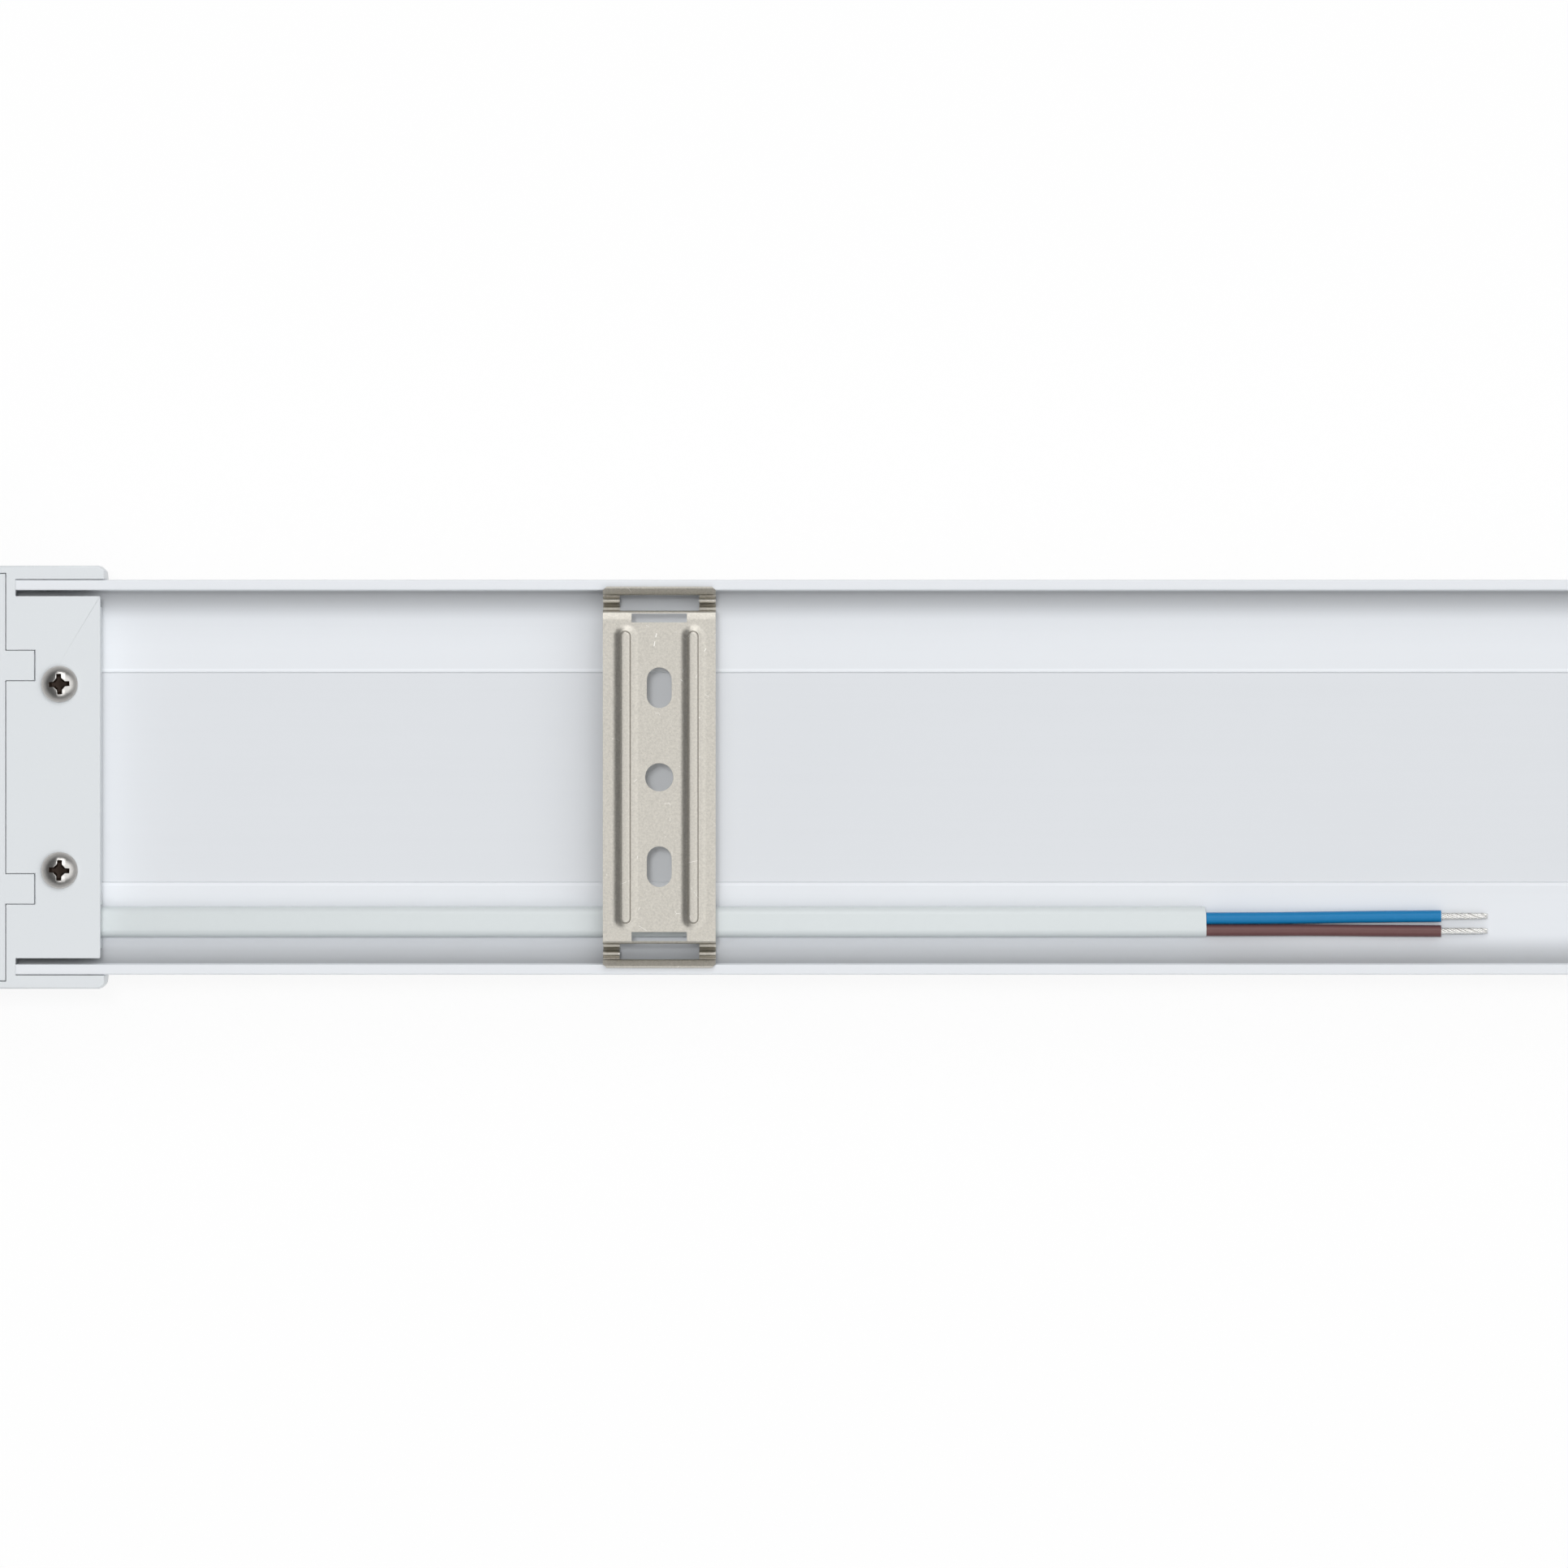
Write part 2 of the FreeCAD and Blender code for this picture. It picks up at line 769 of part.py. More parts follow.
def connector(x, y, toward):
    """A two-way push-in connector under a board; wires enter from the toward side."""
    low = board_under - connector_height
    body = box(
        x - connector_length / 2, x + connector_length / 2,
        y - connector_width / 2, y + connector_width / 2, low, board_under,
    )
    mouth = y + toward * connector_width / 2
    ports = [
        Part.makeCylinder(
            wire_diameter / 2 + 0.1, 2.5,
            V(x + step, mouth + toward * 0.5, low + connector_height / 2), V(0, -toward, 0),
        )
        for step in (-wire_pitch / 2, wire_pitch / 2)
    ]
    return body.cut(ports)


def make_boards():
    for name, side in (("a", 1), ("b", -1)):
        y = side * board_y
        half = board_width / 2
        board = box(-board_end, board_end, y - half, y + half, board_under, floor_under)
        add("led_board_" + name, board)
        count = int((2 * board_end - 2 * chip_pitch) / chip_pitch)
        first = -(count - 1) / 2 * chip_pitch
        chips = []
        for i in range(count):
            x = first + i * chip_pitch
            near = min(abs(x - connector_x), abs(x - link_x))
            if near < (connector_length + chip_length) / 2 + 0.5:
                continue
            chip = box(
                x - chip_length / 2, x + chip_length / 2, y - chip_width / 2,
                y + chip_width / 2, board_under - chip_height, board_under,
            )
            lens = rod(x, y, board_under - chip_height - 0.05, board_under - 0.35, chip_dome)
            chips.append(chip.fuse(lens).removeSplitter())
        add("led_chips_" + name, Part.makeCompound(chips))
    add("led_board_connectors", Part.makeCompound([
        connector(connector_x, board_y, -1),
        connector(link_x, board_y, -1),
        connector(link_x, -board_y, 1),
    ]))


# --- Driver -------------------------------------------------------------------------

terminal_pitch = 5.0
wire_pitch = 3.0


def shell(z_open, z_closed):
    """Half of the driver's case, closed at z_closed and open at z_open."""
    half = driver_width / 2
    body = box(driver_left, driver_right, -half, half, z_open, z_closed)
    inward = 1 if z_open > z_closed else -1
    hollow = box(
        driver_left + driver_wall, driver_right - driver_wall,
        -half + driver_wall, half - driver_wall,
        z_closed + inward * driver_wall, z_open + inward,
    )
    return body.cut(hollow)


def make_case():
    port_z = parts_side - tall_part / 2
    ports = []
    for y in (-terminal_pitch / 2, terminal_pitch / 2):
        ports.append(lying_rod(
            driver_left - 1, driver_left + driver_wall + 1, y, port_z, wire_port,
        ))
    for y in (-wire_pitch / 2, wire_pitch / 2):
        ports.append(lying_rod(
            driver_right - driver_wall - 1, driver_right + 1, y, port_z, wire_diameter + 0.6,
        ))
    posts = []
    post_x = driver_board_length / 2 - board_post
    post_y = driver_board_width / 2 - board_post
    for x in (driver_x - post_x, driver_x + post_x):
        for y in (-post_y, post_y):
            posts.append(rod(
                x, y, driver_top - driver_wall - board_post_height, driver_top - 0.5, board_post,
            ))
    add("driver_tray", shell(driver_split, driver_top).fuse(posts).cut(ports))
    add("driver_cover", shell(driver_split, driver_bottom).cut(ports))
    half = driver_width / 2 - tape_margin
    add("driver_tape", box(
        driver_left + tape_margin, driver_right - tape_margin, -half, half,
        driver_top, floor_under,
    ))


def on_board(x, y, length, width, height):
    """A box-shaped part seated on the component side of the driver's board."""
    x += driver_x
    return box(
        x - length / 2, x + length / 2, y - width / 2, y + width / 2,
        parts_side - height, parts_side,
    )


def make_driver_parts():
    half = driver_board_width / 2
    add("driver_board", box(
        driver_x - driver_board_length / 2, driver_x + driver_board_length / 2, -half, half,
        parts_side, parts_side + driver_board_thickness,
    ))
    port_z = parts_side - tall_part / 2

    left = driver_left + driver_wall - driver_x
    terminal = on_board(left + 5.5, 0, 9.0, 10.0, tall_part - 0.4)
    for y in (-terminal_pitch / 2, terminal_pitch / 2):
        x = driver_x + left
        terminal = terminal.cut(lying_rod(x, x + 4.0, y, port_z, core_diameter + 0.3))
    add("driver_input_terminal", terminal)
    outlet = on_board(-left - 4.5, 0, 7.0, 8.0, tall_part - 0.4)
    for y in (-wire_pitch / 2, wire_pitch / 2):
        x = driver_x - left
        outlet = outlet.cut(lying_rod(x - 4.0, x, y, port_z, wire_diameter + 0.2))
    add("driver_output_terminal", outlet)

    fuse_z = parts_side - 1.75
    add("fuse_resistor", lying_rod(driver_x - 42.0, driver_x - 33.0, 6.0, fuse_z, 3.5))
    add("varistor", rod(driver_x - 37.5, -5.2, parts_side - 3.5, parts_side, 8.0))
    add("film_capacitor", on_board(-24.5, 4.0, 13.0, 6.0, tall_part))
    choke_x = driver_x - 25.0
    choke_low = parts_side - tall_part
    flange = 0.9
    core = rod(choke_x, -5.0, choke_low, parts_side, 4.0)
    for z in (choke_low, parts_side - flange):
        core = core.fuse(rod(choke_x, -5.0, z, z + flange, 8.4))
    winding = rod(choke_x, -5.0, choke_low + flange, parts_side - flange, 7.4)
    add("choke_core", core.removeSplitter())
    add("choke_winding", winding.cut(rod(choke_x, -5.0, driver_bottom, driver_top, 4.0)))
    add("bridge_rectifier", on_board(-14.5, -6.5, 4.7, 4.0, 2.4))
    can = min(5.5, tall_part)
    can_z = parts_side - can / 2
    add("bulk_capacitor", lying_rod(driver_x - 11.0, driver_x + 5.0, -5.4, can_z, can))
    add("switching_ic", on_board(-8.0, 5.5, 4.9, 3.9, 1.5))

    limb_z = parts_side - tall_part / 2
    limb = lying_rod(driver_x + 9.0, driver_x + 23.0, 0, limb_z, 2.6)
    outer_limbs = [on_board(16.0, y, 14.8, 2.0, tall_part) for y in (-7.0, 7.0)]
    yokes = [on_board(x, 0, 2.4, 16.0, tall_part) for x in (9.8, 22.2)]
    add("transformer_core", limb.fuse(outer_limbs + yokes).removeSplitter())
    add("transformer_winding", on_board(16.0, 0, 9.8, 11.0, tall_part).cut(limb))
    add("output_diode", on_board(27.0, 6.5, 4.6, 3.6, 2.3))
    add("output_capacitor", lying_rod(driver_x + 26.0, driver_x + 40.0, -5.4, can_z, can))
    chips = []
    for i in range(3):
        chips.append(on_board(33.0 + 3.2 * i, 6.0, 1.6, 3.2, 0.6))
        chips.append(on_board(-2.0 + 3.2 * i, 6.5, 1.6, 3.2, 0.6))
    add("driver_resistors", Part.makeCompound(chips))


def make_wires():
    """Wires from the driver to the first board, and from that board to the other."""
    port_z = parts_side - tall_part / 2
    plug_z = board_under - connector_height / 2
    mouth = board_y - connector_width / 2 + 1.8
    start = driver_right - driver_wall
    for colour, side in (("red", 1), ("black", -1)):
        y = side * wire_pitch / 2
        end_x = connector_x - side * wire_pitch / 2
        name = "output_wire_" + colour
        bend = end_x - 6.5
        route = [
            (start, y, port_z),
            (bend - 2.0, y, port_z),
            (end_x, y + 6.5, port_z + 0.8),
            (end_x, mouth - 5.0, plug_z),
            (end_x, mouth, plug_z),
        ]
        add(name, tube(name, route, wire_diameter))
    for colour, side in (("red", 1), ("black", -1)):
        x = link_x + side * wire_pitch / 2
        name = "link_wire_" + colour
        route = [
            (x, mouth, plug_z),
            (x, mouth - 8.0, plug_z),
            (x + side * 1.5, 3.0, plug_z - 2.0),
            (x + side * 1.5, -3.0, plug_z - 2.0),
            (x, -mouth + 8.0, plug_z),
            (x, -mouth, plug_z),
        ]
        add(name, tube(name, route, wire_diameter))


# --- Build --------------------------------------------------------------------------


def main():
    make_housing()
    make_diffuser()
    make_caps()
    make_clips()
    make_lead()
    make_inner_cores()
    make_clamp()
    make_boards()
    make_case()
    make_driver_parts()
    make_wires()
    os.makedirs("parts", exist_ok=True)
    for name, shape in nodes.items():
        if not shape.isValid():
            print(f"{name} isn't valid")
        print(f"{name}: {len(shape.Solids)} solids, {shape.Volume:.1f} mm3")
        shape.exportStep(f"parts/{name}.step")


main()
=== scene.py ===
"""Looks of a slim LED batten lamp that lies on its front, seen from the ceiling side."""

import logging
import math
from dataclasses import dataclass, field
from enum import Enum
from typing import Optional, Sequence

import bmesh
import bpy
from mathutils import Matrix, Vector


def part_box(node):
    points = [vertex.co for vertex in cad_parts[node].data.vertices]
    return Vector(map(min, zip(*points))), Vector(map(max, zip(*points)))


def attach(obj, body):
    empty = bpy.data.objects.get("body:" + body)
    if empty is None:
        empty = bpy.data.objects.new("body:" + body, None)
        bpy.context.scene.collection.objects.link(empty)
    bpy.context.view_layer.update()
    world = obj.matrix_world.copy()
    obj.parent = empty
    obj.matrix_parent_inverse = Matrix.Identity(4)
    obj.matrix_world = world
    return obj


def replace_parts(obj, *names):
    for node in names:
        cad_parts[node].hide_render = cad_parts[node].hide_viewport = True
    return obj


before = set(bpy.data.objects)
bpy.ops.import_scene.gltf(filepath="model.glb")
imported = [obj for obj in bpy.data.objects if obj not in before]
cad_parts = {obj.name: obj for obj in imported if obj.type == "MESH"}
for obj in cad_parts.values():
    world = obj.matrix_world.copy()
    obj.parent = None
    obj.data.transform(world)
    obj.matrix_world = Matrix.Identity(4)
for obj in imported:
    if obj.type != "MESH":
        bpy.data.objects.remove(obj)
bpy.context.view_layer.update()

LOG = logging.getLogger("batten")
MM = 0.001
FIXTURE = "fixture"  # the body that everything but the clips rides on

Point = tuple[float, float, float]


def mm(*values: float) -> Vector:
    """A place given in millimetres, in the scene's metres."""
    return Vector([value * MM for value in values])


def linear(hex_colour: str) -> tuple[float, float, float, float]:
    """Turns an sRGB hex colour into linear RGBA.

    Args:
        hex_colour: six hex digits, such as "DCDFE2".

    Returns:
        Linear red, green, blue and an alpha of 1.
    """
    channels = [int(hex_colour[i:i + 2], 16) / 255 for i in (0, 2, 4)]
    out = [c / 12.92 if c <= 0.04045 else ((c + 0.055) / 1.055) ** 2.4 for c in channels]
    return (out[0], out[1], out[2], 1.0)


def add_node(
    tree: bpy.types.NodeTree,
    kind: str,
    values: Optional[dict] = None,
    links: Optional[dict] = None,
    **settings: object,
) -> bpy.types.Node:
    """Adds a node with its settings, socket values and links.

    Args:
        tree: the node tree.
        kind: the node's type name.
        values: input name or index to its constant.
        links: input name or index to the output socket that feeds it.
        settings: properties of the node itself.

    Returns:
        The new node.
    """
    node = tree.nodes.new(kind)
    for key, value in settings.items():
        setattr(node, key, value)
    for key, value in (values or {}).items():
        node.inputs[key].default_value = value
    for key, socket in (links or {}).items():
        tree.links.new(socket, node.inputs[key])
    return node


class Grain(Enum):
    """How a surface pattern lies."""

    EVEN = (1.0, 1.0, 1.0)
    DRAWN = (0.012, 1.0, 1.0)  # stretched along the extrusion


# --- Finishes -----------------------------------------------------------------------


@dataclass(frozen=True)
class Finish:
    """A plain moulded or coated surface with a little tone and relief."""

    name: str
    colour: str
    roughness: float = 0.45
    metallic: float = 0.0
    ior: float = 1.5
    grain_mm: float = 0.6
    grain: Grain = Grain.EVEN
    tone: float = 0.02
    relief_mm: float = 0.003

    def scaled(
        self, tree: bpy.types.NodeTree, size_mm: float, grain: Grain
    ) -> bpy.types.NodeSocket:
        """Object coordinates scaled so that one unit is one grain."""
        place = add_node(tree, "ShaderNodeTexCoord")
        per_metre = 1 / (size_mm * MM)
        scale = [per_metre * share for share in grain.value]
        mapping = add_node(
            tree, "ShaderNodeMapping",
            values={"Scale": scale}, links={"Vector": place.outputs["Object"]},
        )
        return mapping.outputs["Vector"]

    def shader(self, tree: bpy.types.NodeTree) -> bpy.types.Node:
        """The principled shader with this finish's constants."""
        return add_node(
            tree, "ShaderNodeBsdfPrincipled",
            values={
                "Base Color": linear(self.colour),
                "Roughness": self.roughness,
                "Metallic": self.metallic,
                "IOR": self.ior,
            },
        )

    def tinted(
        self, tree: bpy.types.NodeTree, factor: bpy.types.NodeSocket, spread: float
    ) -> bpy.types.NodeSocket:
        """The base colour made a little darker and lighter by a factor.

        Args:
            tree: the node tree.
            factor: a socket from 0 to 1.
            spread: how far the colour moves either way.

        Returns:
            The colour socket.
        """
        colour = linear(self.colour)
        dark = tuple(c * (1 - spread) for c in colour[:3]) + (1.0,)
        light = tuple(min(1.0, c * (1 + spread)) for c in colour[:3]) + (1.0,)
        mix = add_node(
            tree, "ShaderNodeMix", data_type="RGBA",
            values={6: dark, 7: light}, links={0: factor},
        )
        return mix.outputs[2]

    def dress(self, tree: bpy.types.NodeTree, shader: bpy.types.Node) -> None:
        """Adds fine tone and relief to the shader."""
        vector = self.scaled(tree, self.grain_mm, self.grain)
        noise = add_node(
            tree, "ShaderNodeTexNoise",
            values={"Scale": 1.0, "Detail": 4.0, "Roughness": 0.6}, links={"Vector": vector},
        )
        colour = self.tinted(tree, noise.outputs["Fac"], self.tone)
        tree.links.new(colour, shader.inputs["Base Color"])
        bump = add_node(
            tree, "ShaderNodeBump",
            values={"Strength": 1.0, "Distance": self.relief_mm * MM},
            links={"Height": noise.outputs["Fac"]},
        )
        tree.links.new(bump.outputs["Normal"], shader.inputs["Normal"])

    def material(self) -> bpy.types.Material:
        """The Blender material, made once and then reused."""
        found = bpy.data.materials.get(self.name)
        if found is not None:
            return found
        made = bpy.data.materials.new(self.name)
        made.use_nodes = True
        tree = made.node_tree
        tree.nodes.clear()
        shader = self.shader(tree)
        self.dress(tree, shader)
        add_node(
            tree, "ShaderNodeOutputMaterial", links={"Surface": shader.outputs["BSDF"]},
        )
        return made


@dataclass(frozen=True)
class CoatedExtrusion(Finish):
    """Satin polyester coat on extruded aluminium: the die's fine lines run along it."""

    line_mm: float = 1.3
    haze_mm: float = 14.0
    line_share: float = 0.7  # the rest of the tone is haze
    # painted highlight: the coat is made lighter along the two ridges
    ridge_mm: float = 19.0
    ridge_half_mm: float = 0.26
    ridge_highlight_gain: float = 0.12
    # painted light: the side floors are made lighter, as if they caught more light
    side_light_fade_mm: tuple[float, float] = (18.9, 19.3)
    side_light_gain: float = 0.075
    # painted shade: the corners under the lips are made greyer, standing in for the lips' shadow
    corner_shade_mm: tuple[float, float] = (27.6, 32.6)
    corner_shade_loss: float = 0.42
    corner_shade_end_mm: float = 33.05  # the painted corner shade ends here

    def painted_light_band(self, tree: bpy.types.NodeTree) -> bpy.types.NodeSocket:
        """How much lighter the sides and the two ridges are than the middle, and how much greyer the
        corners.

        All of it is painted light and shade: the side floors are painted lighter as if they caught
        more light, the ridges carry a painted highlight, and the corners under the lips carry
        painted shade.

        Returns:
            The factor on the coat's colour.
        """
        place = add_node(tree, "ShaderNodeTexCoord")
        axes = add_node(tree, "ShaderNodeSeparateXYZ", links={0: place.outputs["Object"]})
        across = add_node(
            tree, "ShaderNodeMath", operation="ABSOLUTE", links={0: axes.outputs["Y"]},
        )
        # painted light on the side floors
        low, high = self.side_light_fade_mm
        side = add_node(
            tree, "ShaderNodeMapRange", interpolation_type="SMOOTHSTEP",
            values={
                "From Min": low * MM, "From Max": high * MM,
                "To Min": 1.0, "To Max": 1.0 + self.side_light_gain,
            },
            links={"Value": across.outputs[0]},
        )
        # painted highlight along the ridges
        ridge_highlight = add_node(
            tree, "ShaderNodeMath", operation="COMPARE",
            values={1: self.ridge_mm * MM, 2: self.ridge_half_mm * MM},
            links={0: across.outputs[0]},
        )
        total = add_node(
            tree, "ShaderNodeMath", operation="MULTIPLY_ADD", values={1: self.ridge_highlight_gain},
            links={0: ridge_highlight.outputs[0], 2: side.outputs[0]},
        )
        # painted shade in the corners under the lips
        low, high = self.corner_shade_mm
        corner = add_node(
            tree, "ShaderNodeMapRange", interpolation_type="SMOOTHSTEP",
            values={
                "From Min": low * MM, "From Max": high * MM,
                "To Min": 1.0, "To Max": 1.0 - self.corner_shade_loss,
            },
            links={"Value": across.outputs[0]},
        )
        inside = add_node(
            tree, "ShaderNodeMath", operation="LESS_THAN", values={1: self.corner_shade_end_mm * MM},
            links={0: across.outputs[0]},
        )
        under_lip_shade = add_node(
            tree, "ShaderNodeMix", data_type="FLOAT", values={2: 1.0},
            links={0: inside.outputs[0], 3: corner.outputs[0]},
        )
        both = add_node(
            tree, "ShaderNodeMath", operation="MULTIPLY",
            links={0: total.outputs[0], 1: under_lip_shade.outputs[0]},
        )
        return both.outputs[0]

    def dress(self, tree: bpy.types.NodeTree, shader: bpy.types.Node) -> None:
        """Die lines along X, with a slow change of tone over them, scaled by the painted light and
        shade across the coat.
        """
        lines = add_node(
            tree, "ShaderNodeTexNoise",
            values={"Scale": 1.0, "Detail": 5.0, "Roughness": 0.65},
            links={"Vector": self.scaled(tree, self.line_mm, Grain.DRAWN)},
        )
        haze = add_node(
            tree, "ShaderNodeTexNoise",
            values={"Scale": 1.0, "Detail": 2.0},
            links={"Vector": self.scaled(tree, self.haze_mm, Grain.EVEN)},
        )
        total = add_node(
            tree, "ShaderNodeMix", data_type="FLOAT", values={0: self.line_share},
            links={2: haze.outputs["Fac"], 3: lines.outputs["Fac"]},
        )
        # the coat's colour scaled by painted light and shade
        colour = add_node(
            tree, "ShaderNodeVectorMath", operation="SCALE",
            links={0: self.tinted(tree, total.outputs[0], self.tone), "Scale": self.painted_light_band(tree)},
        )
        tree.links.new(colour.outputs[0], shader.inputs["Base Color"])
        bump = add_node(
            tree, "ShaderNodeBump",
            values={"Strength": 1.0, "Distance": self.relief_mm * MM},
            links={"Height": lines.outputs["Fac"]},
        )
        tree.links.new(bump.outputs["Normal"], shader.inputs["Normal"])


@dataclass(frozen=True)
class OpalPlastic(Finish):
    """Milky polycarbonate: light spreads inside it, so its edges look soft."""

    depth_mm: float = 1.5
    spread: float = 0.35
    spread_rgb: tuple[float, float, float] = (1.0, 0.95, 0.9)

    def shader(self, tree: bpy.types.NodeTree) -> bpy.types.Node:
        """Adds the spread of light below the surface."""
        node = super().shader(tree)
        node.inputs["Subsurface Weight"].default_value = self.spread
        node.inputs["Subsurface Radius"].default_value = self.spread_rgb
        node.inputs["Subsurface Scale"].default_value = self.depth_mm * MM
        return node


@dataclass(frozen=True)
class PlatedSteel(Finish):
    """Nickel over rolled spring steel: a pale warm metal with pits and fine scratches."""

    speckle_mm: float = 0.4
    speckle_rough: tuple[float, float] = (-0.1, 0.14)  # added to the roughness
    scratch_mm: float = 5.0
    scratch_reach: float = 0.006
    scratch_colour: str = "F6F3EE"
    patch_mm: float = 1.6
    patch_over: float = 0.66  # scratches show where the patches' noise is above this
    clip_x_mm: float = 176.9
    rib_x_mm: float = 6.0
    rib_half_mm: float = 0.97
    flank_mm: float = 1.5
    flank_under: float = 0.5  # share of the flank that runs under the rib
    flank_rise_mm: float = 0.44
    rib_end_mm: float = 25.9

    def flank(self, tree: bpy.types.NodeTree) -> bpy.types.NodeSocket:
        """The soft rise of the sheet towards a pressed rib, from 0 to 1."""
        place = add_node(tree, "ShaderNodeTexCoord")
        axes = add_node(tree, "ShaderNodeSeparateXYZ", links={0: place.outputs["Object"]})

        def off_middle(socket: bpy.types.NodeSocket, middle: float) -> bpy.types.NodeSocket:
            size = add_node(tree, "ShaderNodeMath", operation="ABSOLUTE", links={0: socket})
            return add_node(
                tree, "ShaderNodeMath", operation="SUBTRACT", values={1: middle * MM},
                links={0: size.outputs[0]},
            ).outputs[0]

        from_rib = off_middle(off_middle(axes.outputs["X"], self.clip_x_mm), self.rib_x_mm)
        gap = add_node(tree, "ShaderNodeMath", operation="ABSOLUTE", links={0: from_rib})
        past_end = add_node(
            tree, "ShaderNodeMath", operation="MAXIMUM", values={1: 0.0},
            links={0: off_middle(axes.outputs["Y"], self.rib_end_mm - self.rib_half_mm)},
        )
        reach = add_node(
            tree, "ShaderNodeCombineXYZ", links={0: gap.outputs[0], 1: past_end.outputs[0]},
        )
        away = add_node(
            tree, "ShaderNodeVectorMath", operation="LENGTH", links={0: reach.outputs[0]},
        )
        rise = add_node(
            tree, "ShaderNodeMapRange", interpolation_type="SMOOTHERSTEP",
            values={
                "From Min": (self.rib_half_mm + self.flank_mm) * MM,
                "From Max": (self.rib_half_mm - self.flank_under * self.flank_mm) * MM,
                "To Min": 0.0, "To Max": 1.0,
            },
            links={"Value": away.outputs["Value"]},
        )
        return rise.outputs[0]

    def dress(self, tree: bpy.types.NodeTree, shader: bpy.types.Node) -> None:
        """Speckle in tone, roughness and relief, and a few short bright scratches."""
        speckle = add_node(
            tree, "ShaderNodeTexNoise",
            values={"Scale": 1.0, "Detail": 6.0, "Roughness": 0.75},
            links={"Vector": self.scaled(tree, self.speckle_mm, Grain.EVEN)},
        )
        cells = add_node(
            tree, "ShaderNodeTexVoronoi", feature="DISTANCE_TO_EDGE",
            values={"Scale": 1.0, "Randomness": 1.0},
            links={"Vector": self.scaled(tree, self.scratch_mm, Grain.EVEN)},
        )
        near = add_node(
            tree, "ShaderNodeMath", operation="LESS_THAN", values={1: self.scratch_reach},
            links={0: cells.outputs["Distance"]},
        )
        patches = add_node(
            tree, "ShaderNodeTexNoise",
            values={"Scale": 1.0, "Detail": 1.0},
            links={"Vector": self.scaled(tree, self.patch_mm, Grain.EVEN)},
        )
        some = add_node(
            tree, "ShaderNodeMath", operation="GREATER_THAN", values={1: self.patch_over},
            links={0: patches.outputs["Fac"]},
        )
        scratch = add_node(
            tree, "ShaderNodeMath", operation="MULTIPLY",
            links={0: near.outputs[0], 1: some.outputs[0]},
        )
        tone = self.tinted(tree, speckle.outputs["Fac"], self.tone)
        bright = add_node(
            tree, "ShaderNodeMix", data_type="RGBA", values={7: linear(self.scratch_colour)},
            links={0: scratch.outputs[0], 6: tone},
        )
        tree.links.new(bright.outputs[2], shader.inputs["Base Color"])
        less, more = self.speckle_rough
        rough = add_node(
            tree, "ShaderNodeMapRange",
            values={"To Min": self.roughness + less, "To Max": self.roughness + more},
            links={"Value": speckle.outputs["Fac"]},
        )
        tree.links.new(rough.outputs[0], shader.inputs["Roughness"])
        press = add_node(
            tree, "ShaderNodeBump",
            values={"Strength": 1.0, "Distance": self.flank_rise_mm * MM},
            links={"Height": self.flank(tree)},
        )
        bump = add_node(
            tree, "ShaderNodeBump",
            values={"Strength": 1.0, "Distance": self.relief_mm * MM},
            links={"Height": speckle.outputs["Fac"], "Normal": press.outputs["Normal"]},
        )
        tree.links.new(bump.outputs["Normal"], shader.inputs["Normal"])


# its colour carries painted light on the sides and ridges and painted shade in the corners
COATED_ALUMINIUM_PAINTED_LIGHT = CoatedExtrusion(
    "coated aluminium with painted light and shade", "D9DCE0", 0.42, tone=0.016, relief_mm=0.004,
)
OPAL_POLYCARBONATE = OpalPlastic(
    "opal polycarbonate", "F1F1EE", 0.35, tone=0.006, relief_mm=0.0,
)
CAP_ABS = Finish("moulded white ABS", "D8DCDF", 0.4, grain_mm=0.35, tone=0.01, relief_mm=0.004)
NICKEL_SPRING = PlatedSteel(
    "nickel-plated spring steel", "CDC9C0", 0.34, 1.0, tone=0.42, relief_mm=0.03,
)
NICKEL_SCREW = Finish(
    "polished nickel screw", "D2D0CD", 0.2, 1.0, grain_mm=0.7, tone=0.12, relief_mm=0.012,
)
# dull nickel, with painted shade: the recess's darkness is painted into its colour
RECESS_PAINTED_SHADE = Finish("dull nickel with painted recess shade", "33271F", 0.5, 0.6, grain_mm=0.3, tone=0.3)
SHEATH_PVC = Finish("white sheath PVC", "D4DADB", 0.3, grain_mm=1.5, tone=0.015, relief_mm=0.01)
BLUE_PVC = Finish(
    "blue core PVC", "0076AE", 0.38, ior=1.42, grain_mm=0.8, tone=0.05, relief_mm=0.008,
)
BROWN_PVC = Finish("brown core PVC", "664140", 0.34, grain_mm=0.8, tone=0.08, relief_mm=0.008)
TINNED_COPPER = Finish(
    "tinned copper strand", "EBEAE7", 0.22, 1.0, grain_mm=0.3, tone=0.2, relief_mm=0.01,
)
NYLON = Finish("natural nylon", "DFDDD4", 0.5, tone=0.02)
SOLDER_MASK = Finish("white solder mask", "ECEEEE", 0.35, tone=0.01)
PHOSPHOR = Finish("LED phosphor", "F0D24A", 0.4, tone=0.05)
CASE_PC = Finish("white driver case PC", "E4E4E1", 0.45, tone=0.015)
FOAM_TAPE = Finish("black foam tape", "2A2A2A", 0.9, grain_mm=0.4, tone=0.25, relief_mm=0.05)
GREEN_LAMINATE = Finish("green glass-fibre board", "1E6A38", 0.35, grain_mm=1.0, tone=0.1)
GREEN_TERMINAL = Finish("green terminal PA", "2F8A4C", 0.45, tone=0.05)
BLUE_EPOXY = Finish("blue component epoxy", "2D5FA0", 0.35, tone=0.08)
BLACK_EPOXY = Finish("black component epoxy", "1C1C1E", 0.5, tone=0.15)
YELLOW_BOX = Finish("yellow film capacitor case", "D8BE38", 0.3, tone=0.04)
FERRITE = Finish("sintered ferrite", "2B2B2E", 0.6, tone=0.2, relief_mm=0.01)
